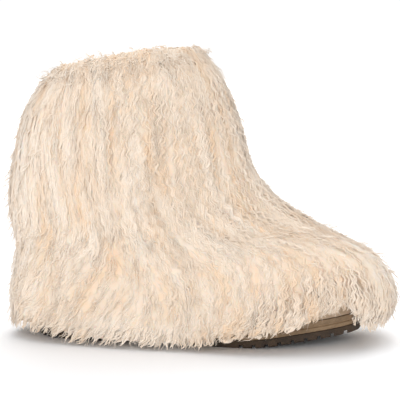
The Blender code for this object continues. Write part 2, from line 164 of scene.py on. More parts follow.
@dataclass
class BootForm:
    """The boot's sizes in millimetres and the surfaces worked out from them.

    The sole and the upper are as the CAD part has them.  The hair is a little thinner than the CAD
    solid's at the collar, the front and the toe, and deeper over the hem at the sides.
    """

    sole_length: float = 262.0
    ball_width: float = 96.4
    collar_height: float = 226.0
    heel_height: float = 21.0
    ball_height: float = 14.8
    toe_spring: float = 10.0
    heel_setback: float = 36.0
    wall: float = 3.0
    top_rise: float = 10.0
    crown_width: float = 3.0
    crown_round: float = 0.6
    rear_crown: float = 70.0
    rear_dip: float = 6.5
    front_crown: float = 105.0
    front_dip: float = 8.0
    swing_fade: float = 6.0
    front_end: float = 0.9
    columns: int = 176
    samples: int = 721
    angle_share: float = 0.45
    ring_step: float = 0.25
    floor_clear: float = 2.4
    skirt_rings: float = 2.0
    level_rings: float = 1.5
    hang: float = 24.0
    width_places: tuple[float, ...] = (0.0, 0.16, 0.46, 0.78, 1.0)
    depth_degrees: tuple[float, ...] = (0.0, 80.0, 100.0, 180.0)
    skin: np.ndarray = field(init=False)
    normals: np.ndarray = field(init=False)

    def __post_init__(self) -> None:
        """Fills the tables, then the grids of the upper's skin and its normals."""
        self.sole_plan = table(
            "along half swing",
            (0.00, 0.358, 0.000),
            (0.14, 0.376, -0.004),
            (0.30, 0.367, -0.023),
            (0.44, 0.373, -0.044),
            (0.56, 0.425, -0.046),
            (0.66, 0.477, -0.035),
            (0.75, 0.500, -0.019),
            (0.84, 0.488, 0.002),
            (0.92, 0.456, 0.019),
            (1.00, 0.415, 0.033),
        )
        self.sole_profile = table(
            "along top",
            (0.00, self.heel_height + 1.5),
            (0.05, self.heel_height + 1.0),
            (0.26, self.heel_height),
            (0.34, self.heel_height - 1.0),
            (0.44, self.ball_height + 3.0),
            (0.52, self.ball_height + 1.4),
            (0.66, self.ball_height),
            (0.83, self.ball_height + 4.6),
            (1.00, self.ball_height + self.toe_spring - 0.4),
        )
        self.rings = table(
            "rear rear_up front front_up heel waist fore round_rear round_front follow",
            (0.009, 0.101, 0.990, 0.109, 0.338, 0.342, 0.473, 3.70, 2.90, 1.00),
            (0.002, 0.139, 0.998, 0.153, 0.355, 0.363, 0.483, 3.60, 2.80, 0.70),
            (-0.002, 0.190, 0.977, 0.201, 0.363, 0.373, 0.465, 3.50, 2.60, 0.35),
            (-0.001, 0.243, 0.927, 0.239, 0.367, 0.378, 0.415, 3.30, 2.35, 0.10),
            (0.005, 0.301, 0.859, 0.274, 0.376, 0.378, 0.358, 3.00, 2.20, 0.00),
            (0.014, 0.367, 0.779, 0.321, 0.390, 0.380, 0.322, 2.80, 2.10, 0.00),
            (0.023, 0.442, 0.698, 0.392, 0.407, 0.390, 0.316, 2.60, 2.10, 0.00),
            (0.032, 0.527, 0.630, 0.482, 0.425, 0.411, 0.332, 2.45, 2.10, 0.00),
            (0.040, 0.611, 0.580, 0.584, 0.444, 0.436, 0.363, 2.35, 2.10, 0.00),
            (0.047, 0.695, 0.552, 0.690, 0.456, 0.456, 0.394, 2.30, 2.15, 0.00),
            (0.056, 0.779, 0.532, 0.796, 0.465, 0.467, 0.420, 2.25, 2.20, 0.00),
            (0.069, 0.854, 0.510, 0.903, 0.471, 0.473, 0.436, 2.20, 2.20, 0.00),
            (0.084, 0.920, 0.473, 1.000, 0.477, 0.477, 0.446, 2.20, 2.20, 0.00),
        )
        self.depths = table(
            "ring rear side front",
            (0, 25.0, 34.0, 28.0),
            (1, 24.0, 32.0, 29.5),
            (2, 22.0, 29.5, 29.0),
            (3, 19.5, 28.0, 28.5),
            (4, 20.0, 28.0, 29.0),
            (5, 25.0, 29.0, 30.0),
            (6, 31.0, 29.0, 27.5),
            (7, 33.0, 28.0, 25.0),
            (8, 32.0, 27.0, 24.0),
            (9, 30.0, 25.0, 24.0),
            (10, 26.5, 21.5, 22.0),
            (11, 18.5, 18.0, 16.0),
            (12, 9.0, 11.0, 9.0),
        )
        self.hem = table(
            "degrees height lowest",
            (0, 9.0, -2.4),
            (16, 12.0, -2.4),
            (25, 11.5, -2.4),
            (33, 8.0, -2.4),
            (45, 3.6, -2.4),
            (56, 1.8, -2.4),
            (86, 2.4, -2.4),
            (94, 4.0, -2.3),
            (102, 7.0, -2.1),
            (110, 9.5, -1.6),
            (118, 12.0, -0.9),
            (126, 14.0, 0.0),
            (134, 15.0, 0.5),
            (142, 15.0, 0.85),
            (149, 16.0, 0.95),
            (153, 14.0, 0.5),
            (156, 12.0, -0.8),
            (161, 11.0, -1.8),
            (170, 14.0, -1.8),
            (180, 19.0, -1.8),
        )
        self.top_ring = len(self.rings["rear"]) - 1
        numbers = np.arange(0.0, self.top_ring + self.ring_step / 2, self.ring_step)
        self.skin = np.array([self.ring(number) for number in numbers])
        round_it = np.roll(self.skin, -1, axis=1) - np.roll(self.skin, 1, axis=1)
        normal = np.cross(round_it, np.gradient(self.skin, axis=0))
        self.normals = normal / np.linalg.norm(normal, axis=2)[..., None]

    def sole_x(self, along: np.ndarray) -> np.ndarray:
        """Place in x of a share of the sole's length."""
        return self.sole_length * along - self.heel_setback

    def sole_top(self, x: np.ndarray) -> np.ndarray:
        """Height of the sole's top at x."""
        along = (x + self.heel_setback) / self.sole_length
        return through(self.sole_profile["along"], self.sole_profile["top"], along)

    def even_places(self, x: np.ndarray, y: np.ndarray) -> np.ndarray:
        """Index places that share half a ring out, partly by angle and partly by length.

        Args:
            x: places of the half ring.
            y: half widths there.

        Returns:
            An index for each column of the half ring.
        """
        walked = np.concatenate([[0], np.cumsum(np.hypot(np.diff(x), np.diff(y)))])
        share = self.angle_share * np.linspace(0, 1, len(x))
        share += (1 - self.angle_share) * walked / walked[-1]
        return np.interp(np.linspace(0, 1, self.columns // 2 + 1), share, np.arange(len(x)))

    def ring(self, number: float) -> np.ndarray:
        """One ring of the upper's outside.

        Args:
            number: the ring's number, from 0 at the feather edge to the top ring.

        Returns:
            Points from the rear, by the outer side, round the front and back.
        """
        numbers = np.arange(len(self.rings["rear"]))
        row = {name: float(through(numbers, values, number)) for name, values in self.rings.items()}
        rear, front = self.sole_x(row["rear"]), self.sole_x(row["front"])
        cosine = np.cos(np.linspace(0, math.pi, self.samples))
        along = (1 - cosine) / 2
        x = rear + (front - rear) * along
        widths = (row["heel"], row["heel"], row["waist"], row["fore"], row["fore"] * self.front_end)
        power = row["round_rear"] + (row["round_front"] - row["round_rear"]) * along
        bulge = np.maximum(1 - np.abs(cosine) ** power, 0) ** (1 / power)
        half = self.ball_width * through(self.width_places, widths, along) * bulge
        sole_along = (x + self.heel_setback) / self.sole_length
        swing = self.ball_width * through(self.sole_plan["along"], self.sole_plan["swing"], sole_along)
        swing *= math.exp(-number / self.swing_fade)
        at = self.even_places(x, half)
        index = np.arange(len(x))
        x, half, swing = (np.interp(at, index, values) for values in (x, half, swing))
        part = (x - rear) / (front - rear)
        chord = self.collar_height * (row["rear_up"] * (1 - part) + row["front_up"] * part)
        sole_chord = self.sole_top(rear) * (1 - part) + self.sole_top(front) * part
        z = chord + row["follow"] * (self.sole_top(x) - sole_chord)
        outer = np.column_stack([x, swing - half, z])
        inner = np.column_stack([x, swing + half, z])
        return np.vstack([outer, inner[-2:0:-1]])

    def sample(self, grid: np.ndarray, ring: np.ndarray, turn: np.ndarray) -> np.ndarray:
        """Reads a grid between its points.

        Args:
            grid: values over rings and columns.
            ring: ring numbers.
            turn: places round the boot, 0 at the rear, 0.25 on the outer side, 0.5 at the toe.

        Returns:
            A vector for each place.
        """
        up = np.clip(ring, 0.0, self.top_ring) / self.ring_step
        row = np.minimum(np.floor(up).astype(int), len(grid) - 2)
        over = (turn % 1.0) * self.columns
        column = np.floor(over).astype(int)
        a, b = (up - row)[..., None], (over - column)[..., None]
        left, right = column % self.columns, (column + 1) % self.columns
        low = grid[row, left] * (1 - b) + grid[row, right] * b
        high = grid[row + 1, left] * (1 - b) + grid[row + 1, right] * b
        return low * (1 - a) + high * a

    def degrees(self, turn: np.ndarray) -> np.ndarray:
        """Angle from the rear, the same on both sides, from 0 to 180."""
        angle = (turn % 1.0) * 360.0
        return np.minimum(angle, 360.0 - angle)

    def lowest(self, turn: np.ndarray) -> np.ndarray:
        """Ring number down to which the longest hair reaches at each turn."""
        return through(self.hem["degrees"], self.hem["lowest"], self.degrees(turn))

    def depth(self, ring: np.ndarray, turn: np.ndarray) -> np.ndarray:
        """Depth of the hair.

        Args:
            ring: ring numbers.
            turn: places round the boot.

        Returns:
            A depth in millimetres for each place.
        """
        ring, rows = np.clip(ring, 0.0, self.top_ring), self.depths
        rear, side, front = (through(rows["ring"], rows[key], ring) for key in ("rear", "side", "front"))
        degrees = self.degrees(turn)
        start, side_start, side_end, end = self.depth_degrees
        to_side = smooth((degrees - start) / (side_start - start))
        to_front = smooth((degrees - side_end) / (end - side_end))
        return rear + (side - rear) * to_side + (front - side) * to_front

    def outward(self, ring: np.ndarray, turn: np.ndarray) -> np.ndarray:
        """Ways out of the boot, which turn level towards the feather edge and under it.

        Args:
            ring: ring numbers.
            turn: places round the boot.

        Returns:
            A unit vector for each place.
        """
        normal = self.sample(self.normals, ring, turn)
        normal[..., 2] *= smooth(ring / self.level_rings)
        return normal / np.linalg.norm(normal, axis=-1)[..., None]

    def place(self, ring: np.ndarray, turn: np.ndarray, share: np.ndarray) -> np.ndarray:
        """Points in the hair.

        Args:
            ring: ring numbers, under 0 below the feather edge and past the top ring above the collar.
            turn: places round the boot.
            share: depth in the hair, 0 on the skin and 1 on its outside.

        Returns:
            A point in millimetres for each place.
        """
        ring, turn, share = np.broadcast_arrays(*(np.asarray(v, float) for v in (ring, turn, share)))
        rise = np.sin(np.clip(ring - self.top_ring, 0.0, 1.0) * math.pi / 2)
        depth = self.depth(ring, turn)
        depth = self.crown_width + (depth - self.crown_width) * (1 - rise**2) ** self.crown_round
        point = self.sample(self.skin, ring, turn)
        point = point + self.outward(ring, turn) * (depth * share)[..., None]
        point[..., 2] += self.crown(turn) * rise
        point[..., 2] = self.hung(point[..., 2], ring, turn)
        return point

    def crown(self, turn: np.ndarray) -> np.ndarray:
        """How far the hair stands above the collar.

        Args:
            turn: places round the boot.

        Returns:
            A height in millimetres for each place.
        """
        degrees = self.degrees(turn)
        to_rear = 1.0 - smooth(degrees / self.rear_crown)
        to_front = smooth((degrees - self.front_crown) / (180.0 - self.front_crown))
        return self.top_rise - self.rear_dip * to_rear - self.front_dip * to_front

    def hung(self, height: np.ndarray, ring: np.ndarray, turn: np.ndarray) -> np.ndarray:
        """Lets the hair under the feather edge hang down to its hem, clear of the floor.

        Args:
            height: heights as they are without a hem.
            ring: ring numbers.
            turn: places round the boot.

        Returns:
            The heights with the hem, in millimetres.
        """
        down = np.maximum(-ring, 0.0) / self.skirt_rings
        hem = through(self.hem["degrees"], self.hem["height"], self.degrees(turn))
        height = height + np.minimum(down, 1.0) * (hem - height)
        height = height - np.maximum(down - 1.0, 0.0) * self.hang
        return np.maximum(height, self.floor_clear)


def linked(name: str, data: bpy.types.ID) -> bpy.types.Object:
    """Puts data into the scene as a new object.

    Args:
        name: the object's name.
        data: its mesh, lamp or camera.

    Returns:
        The object.
    """
    made = bpy.data.objects.new(name, data)
    bpy.context.scene.collection.objects.link(made)
    return made


def store(mesh: bpy.types.Mesh, title: str, values: np.ndarray, kind: Kept = Kept.NUMBER) -> None:
    """Keeps values on a mesh's points.

    Args:
        mesh: the mesh.
        title: the attribute's name.
        values: a value for each point, in any shape.
        kind: what the values are.
    """
    data_type, slot, number = kind.value
    attribute = mesh.attributes.new(title, data_type, "POINT")
    attribute.data.foreach_set(slot, np.ascontiguousarray(values).reshape(-1).astype(number))


def grid_faces(rows: int, columns: int, start: int = 0, flip: bool = False) -> list[tuple[int, ...]]:
    """Quads of a grid that closes round its columns.

    Args:
        rows: number of rings.
        columns: points in each ring.
        start: index of the first point.
        flip: whether the faces look inwards.

    Returns:
        The faces.
    """
    row, column = np.meshgrid(np.arange(rows - 1), np.arange(columns), indexing="ij")
    following = (column + 1) % columns
    quads = np.stack([row * columns + column, row * columns + following,
                      (row + 1) * columns + following, (row + 1) * columns + column], axis=-1)
    quads = quads.reshape(-1, 4) + start
    return [tuple(quad) for quad in (quads[:, ::-1] if flip else quads).tolist()]


def shell(name: str, outside: np.ndarray, inside: np.ndarray,
          material: bpy.types.Material) -> bpy.types.Object:
    """A closed, smooth-shaded shell between two grids that close round their columns.

    Args:
        name: the piece's name.
        outside: rings of points in millimetres, from the lowest one up.
        inside: rings of the inner face, with as many columns.
        material: its finish.

    Returns:
        The object, with the outside's points first.
    """
    columns = outside.shape[1]
    points = np.vstack([outside.reshape(-1, 3), inside.reshape(-1, 3)])
    start = len(outside) * columns
    faces = grid_faces(len(outside), columns)
    faces += grid_faces(len(inside), columns, start, flip=True)
    top_out, top_in = start - columns, len(points) - columns
    for i in range(columns):
        j = (i + 1) % columns
        faces.append((top_out + i, top_out + j, top_in + j, top_in + i))
        faces.append((j, i, start + i, start + j))
    mesh = bpy.data.meshes.new(name)
    mesh.from_pydata((points * MM).tolist(), [], faces)
    mesh.materials.append(material)
    mesh.shade_smooth()
    return linked(name, mesh)


class NodeTree:
    """Short hand for the nodes of a material, a shader group or a Geometry Nodes group."""

    def __init__(self, tree: bpy.types.NodeTree) -> None:
        """Keeps the tree."""
        self.tree = tree

    def node(self, kind: str, inputs: dict | None = None, **settings: object) -> bpy.types.Node:
        """Adds a node.

        Args:
            kind: the node's type.
            inputs: values or outputs for its inputs, by index or name.
            settings: its properties.

        Returns:
            The node.
        """
        made = self.tree.nodes.new(kind)
        for name, value in settings.items():
            setattr(made, name, value)
        self.fill(made, inputs or {})
        return made

    def fill(self, node: bpy.types.Node, inputs: dict) -> None:
        """Feeds several inputs of a node, by index or name."""
        for socket, value in inputs.items():
            self.feed(node.inputs[socket], value)

    def feed(self, socket: bpy.types.NodeSocket, value: object) -> None:
        """Links an output to a socket, or sets the socket to a plain value.

        Args:
            socket: the input.
            value: an output, or a plain value; a colour may leave its alpha out.
        """
        if isinstance(value, bpy.types.NodeSocket):
            self.tree.links.new(value, socket)
        elif socket.type == "RGBA":
            socket.default_value = (*value, 1.0)[:4]
        else:
            socket.default_value = value

    def math(self, operation: str, *values: object) -> bpy.types.NodeSocket:
        """A Math node's output."""
        return self.node("ShaderNodeMath", dict(enumerate(values)), operation=operation).outputs[0]

    def split(self, vector: object) -> bpy.types.bpy_prop_collection:
        """The X, Y and Z of a vector."""
        return self.node("ShaderNodeSeparateXYZ", {0: vector}).outputs


class ShaderTree(NodeTree):
    """Short hand for the nodes of one material or shader group."""

    def attribute(self, name: str, output: str = "Fac") -> bpy.types.NodeSocket:
        """What the mesh keeps under a name."""
        return self.node("ShaderNodeAttribute", attribute_name=name).outputs[output]

    def mix(self, share: object, low: object, high: object, blend: str = "MIX") -> bpy.types.NodeSocket:
        """Mixes two colours.

        Args:
            share: how much of the second colour.
            low: the first colour.
            high: the second colour.
            blend: the blend type.

        Returns:
            The mixed colour.
        """
        inputs = {0: share, 6: low, 7: high}
        return self.node("ShaderNodeMix", inputs, data_type="RGBA", blend_type=blend).outputs[2]

    def ramp(self, value: object, low: float, high: float) -> bpy.types.NodeSocket:
        """0 at low, 1 at high, and smooth between."""
        inputs = {0: value, 1: low, 2: high}
        return self.node("ShaderNodeMapRange", inputs, interpolation_type="SMOOTHSTEP").outputs[0]

    def noise(self, vector: object, scale: object, detail: float = 3.0,
              roughness: float = 0.55) -> bpy.types.NodeSocket:
        """A noise texture's value."""
        inputs = {"Vector": vector, "Scale": scale, "Detail": detail, "Roughness": roughness}
        return self.node("ShaderNodeTexNoise", inputs).outputs[0]

    def bump(self, height: object, strength: float, depth: float) -> bpy.types.NodeSocket:
        """The normal that a height gives."""
        inputs = {"Height": height, "Strength": strength, "Distance": depth}
        return self.node("ShaderNodeBump", inputs).outputs["Normal"]

    def place(self, name: str, **values: object) -> bpy.types.bpy_prop_collection:
        """Places a shader group with its own values.

        Args:
            name: the group's name.
            values: its inputs, with underscores for the spaces in their names.

        Returns:
            The group's outputs.
        """
        made = self.node("ShaderNodeGroup", node_tree=bpy.data.node_groups[name])
        for socket, value in values.items():
            self.feed(made.inputs[socket.replace("_", " ").capitalize()], value)
        return made.outputs


def new_material(name: str) -> tuple[bpy.types.Material, ShaderTree, bpy.types.Node]:
    """Starts a material.

    Args:
        name: its name.

    Returns:
        The material, its tree and its Principled shader.
    """
    made = bpy.data.materials.new(name)
    made.use_nodes = True
    return made, ShaderTree(made.node_tree), made.node_tree.nodes["Principled BSDF"]


def shader_group(name: str, inputs: dict[str, float], outputs: tuple[str, ...]) -> tuple:
    """An empty shader group with its sockets.

    Args:
        name: the group's name.
        inputs: its number inputs and their defaults; it has a vector input too.
        outputs: its number outputs.

    Returns:
        The tree, what its inputs give, and its output node.
    """
    group = bpy.data.node_groups.new(name, "ShaderNodeTree")
    group.interface.new_socket(name="Vector", in_out="INPUT", socket_type="NodeSocketVector")
    for title, default in inputs.items():
        socket = group.interface.new_socket(name=title, in_out="INPUT", socket_type="NodeSocketFloat")
        socket.default_value = default
    for title in outputs:
        group.interface.new_socket(name=title, in_out="OUTPUT", socket_type="NodeSocketFloat")
    tree = ShaderTree(group)
    return tree, tree.node("NodeGroupInput").outputs, tree.node("NodeGroupOutput")


def build_grain_group() -> None:
    """Mottling and fine grain for rubber, foam, leather and cloth."""
    defaults = {"Patch scale": 40.0, "Grain scale": 900.0, "Patch share": 0.6}
    tree, given, put = shader_group("fine_grain", defaults, ("Mask", "Height"))
    patch = tree.noise(given["Vector"], given["Patch scale"])
    grain = tree.noise(given["Vector"], given["Grain scale"], detail=4.0, roughness=0.7)
    kept = tree.math("MULTIPLY", patch, given["Patch share"])
    rest = tree.math("SUBTRACT", 1.0, given["Patch share"])
    tree.fill(put, {"Mask": tree.math("MULTIPLY_ADD", grain, rest, kept), "Height": grain})


@dataclass(frozen=True)
class WoolPattern:
    """Warm and pale patches of wool, and crimped hairs drawn along its flow, as a shader group."""

    crimp_step: float = 0.008
    patch_phase: float = 70.0
    calm_scale: float = 35.0
    calm_range: tuple[float, float] = (0.3, 0.65)
    patch_range: tuple[float, float] = (0.38, 0.64)
    lock_stretch: float = 0.10
    lock_share: float = 0.62
    hair_stretch: float = 0.05
    hair_share: float = 0.38

    def build(self) -> None:
        """Builds the group."""
        defaults = {"Patch scale": 22.0, "Crimp angle": 0.014, "Lock scale": 300.0, "Hair scale": 900.0}
        tree, given, put = shader_group("wool_tone", defaults, ("Patch", "Fibre"))
        vector = given["Vector"]
        patch = tree.noise(vector, given["Patch scale"], detail=2.0)
        phase = tree.math("MULTIPLY", patch, self.patch_phase)
        turns = tree.math("MULTIPLY_ADD", tree.split(vector)["Z"], 2 * math.pi / self.crimp_step, phase)
        calm = tree.ramp(tree.noise(vector, self.calm_scale, detail=1.0), *self.calm_range)
        strength = tree.math("MULTIPLY", given["Crimp angle"], calm)
        angle = tree.math("MULTIPLY", strength, tree.math("SINE", turns))
        inputs = {"Vector": vector, "Angle": angle}
        crimped = tree.node("ShaderNodeVectorRotate", inputs, rotation_type="Z_AXIS").outputs[0]
        locks = self.lines(tree, crimped, self.lock_stretch, given["Lock scale"])
        hairs = self.lines(tree, crimped, self.hair_stretch, given["Hair scale"])
        hairs = tree.math("MULTIPLY", hairs, self.hair_share)
        fibre = tree.math("MULTIPLY_ADD", locks, self.lock_share, hairs)
        tree.fill(put, {"Patch": tree.ramp(patch, *self.patch_range), "Fibre": fibre})

    def lines(self, tree: ShaderTree, vector: object, stretch: float, scale: object) -> bpy.types.NodeSocket:
        """Noise drawn out into lines.

        Args:
            tree: the group's tree.
            vector: where the noise is read.
            stretch: share of the height that is left, so a small one makes long lines.
            scale: how fine the noise is.

        Returns:
            The lines' height.
        """
        inputs = {0: vector, 1: (1.0, 1.0, stretch)}
        longer = tree.node("ShaderNodeVectorMath", inputs, operation="MULTIPLY").outputs[0]
        return tree.noise(longer, scale, detail=2.0, roughness=0.6)


@dataclass(frozen=True)
class WoolFinish:
    """Cream wool with painted shade: warmer and deeper in its gaps between hairs and in its furrows, and
    greyer where it is seen from its edge.
    """

    name: str
    tip: Colour = (0.80, 0.68, 0.565)
    pale: Colour = (0.85, 0.75, 0.65)
    # The root colour also stands in for painted shade in the gaps between hairs and in the furrows.
    root: Colour = (0.82, 0.62, 0.445)
    # Painted shade: the wool is multiplied by this grey where it is seen from its edge.
    edge_shade: Colour = (0.78, 0.80, 0.825)
    edge_shade_share: float = 0.9
    edge_shade_range: tuple[float, float] = (0.35, 0.9)
    root_range: tuple[float, float] = (0.1, 0.5)
    pale_range: tuple[float, float] = (0.45, 0.95)
    # Painted shade: these mix the gaps between drawn hairs towards the root colour.
    gap_shade_range: tuple[float, float] = (0.52, 0.38)
    gap_shade_share: float = 0.55
    patch_share: float = 0.3
    roughness: float = 0.85
    specular: float = 0.2
    sheen: float = 0.05
    sheen_roughness: float = 0.6
    sheen_tint: Colour = (1.0, 0.95, 0.88)
    relief: float = 0.5
    relief_depth: float = 0.0002
    fibres: float = 0.0
    fibre_steps: float = 3.0
    fibre_patterns: float = 61.0
    scatter: float = 0.4
    scatter_depth: Colour = (0.0003, 0.0003, 0.0003)

    def material(self) -> bpy.types.Material:
        """Builds the material."""
        made, tree, shader = new_material(self.name)
        own = tree.attribute("strand_tone")
        tone = tree.place("wool_tone", Vector=tree.attribute("flow", "Vector"))
        fibre = self.drawn_hairs(tree, own) if self.fibres else tone["Fibre"]
        tree.fill(shader, {
            "Base Color": self.colour(tree, own, tone["Patch"], fibre),
            "Normal": tree.bump(fibre, self.relief, self.relief_depth),
            "Roughness": self.roughness,
            "Specular IOR Level": self.specular,
            "Subsurface Weight": self.scatter,
            "Subsurface Radius": self.scatter_depth,
            "Subsurface Scale": 1.0,
            "Sheen Weight": self.sheen,
            "Sheen Roughness": self.sheen_roughness,
            "Sheen Tint": self.sheen_tint,
        })
        return made

    def colour(self, tree: ShaderTree, own: object, patch: object, fibre: object) -> bpy.types.NodeSocket:
        """The wool's colour, with painted shade in its gaps and furrows and towards its edge.

        Args:
            tree: the material's tree.
            own: each strand's own tone, which also holds painted shade from furrows and hollows.
            patch: how pale the coat's patches are.
            fibre: the hairs' height, low in the gaps between them.

        Returns:
            The colour.
        """
        colour = tree.mix(tree.ramp(own, *self.root_range), self.root, self.tip)
        colour = tree.mix(tree.ramp(own, *self.pale_range), colour, self.pale)
        colour = tree.mix(tree.math("MULTIPLY", patch, self.patch_share), colour, self.tip)
        # Painted shade: the gaps between the drawn hairs are mixed towards the deeper root colour.
        gaps = tree.math("MULTIPLY", tree.ramp(fibre, *self.gap_shade_range), self.gap_shade_share)
        colour = tree.mix(gaps, colour, self.root)
        # Painted shade: the wool is greyed where it is seen from its edge.
        return tree.mix(self.painted_edge_shade(tree), colour, self.edge_shade, "MULTIPLY")

    def painted_edge_shade(self, tree: ShaderTree) -> bpy.types.NodeSocket:
        """How nearly the coat is seen from its edge, where it is greyed as painted shade."""
        outward = tree.attribute("outward", "Vector")
        facing = tree.node("ShaderNodeLayerWeight", {"Normal": outward}).outputs["Facing"]
        return tree.math("MULTIPLY", tree.ramp(facing, *self.edge_shade_range), self.edge_shade_share)

    def drawn_hairs(self, tree: ShaderTree, own: object) -> bpy.types.NodeSocket:
        """Fine hairs drawn along a curl.

        Args:
            tree: the material's tree.
            own: the curl's own tone, which sets its pattern.

        Returns:
            The hairs' height, about 0.5.
        """
        place = tree.node("ShaderNodeCombineXYZ", {
            0: tree.math("MULTIPLY", tree.attribute("strand_across"), self.fibres),
            1: tree.math("MULTIPLY", tree.attribute("strand_along"), self.fibre_steps),
            2: tree.math("MULTIPLY", own, self.fibre_patterns),
        })
        return tree.noise(place.outputs[0], 1.0, detail=2.0)


@dataclass(frozen=True)
class SoleFinish:
    """Rubber, foam, cloth or hide with mottling, fine grain, and a darker colour towards the floor."""

    name: str
    light: Colour
    dark: Colour
    low_colour: Colour
    roughness: float
    low_top: float
    grain_scale: float = 700.0
    grain_depth: float = 0.0004
    grain_strength: float = 0.7
    patch_scale: float = 90.0
    patch_range: tuple[float, float] = (0.32, 0.68)
    low_base: float = 0.2
    low_wobble: float = 0.006
    low_share: float = 0.7
    rough_spread: float = 0.2

    def material(self) -> bpy.types.Material:
        """Builds the material."""
        made, tree, shader = new_material(self.name)
        where = tree.node("ShaderNodeTexCoord").outputs["Object"]
        scales = dict(Patch_scale=self.patch_scale, Grain_scale=self.grain_scale)
        grain = tree.place("fine_grain", Vector=where, **scales)
        # The colour turns darker towards the floor, over a band whose top wobbles with the grain.
        wobble = tree.math("MULTIPLY_ADD", grain["Mask"], self.low_wobble, tree.split(where)["Z"])
        high = tree.ramp(wobble, self.low_top * self.low_base, self.low_top)
        low = tree.math("MULTIPLY", tree.math("SUBTRACT", 1.0, high), self.low_share)
        colour = tree.mix(tree.ramp(grain["Mask"], *self.patch_range), self.dark, self.light)
        middle = self.roughness - self.rough_spread / 2
        tree.fill(shader, {
            "Base Color": tree.mix(low, colour, self.low_colour),
            "Roughness": tree.math("MULTIPLY_ADD", grain["Mask"], self.rough_spread, middle),
            "Normal": tree.bump(grain["Height"], self.grain_strength, self.grain_depth),
        })
        return made


@dataclass(frozen=True)
class StrandStyle:
    """Sizes of the strands of one piece, in millimetres."""

    strands: int
    spread: float
    crimp_height: float
    crimp_length: float
    frizz: float
    width: float
    seed: int
    fall: Fall = Fall.POINTED
    shortest: float = 0.8
    flatness: float = 1.0


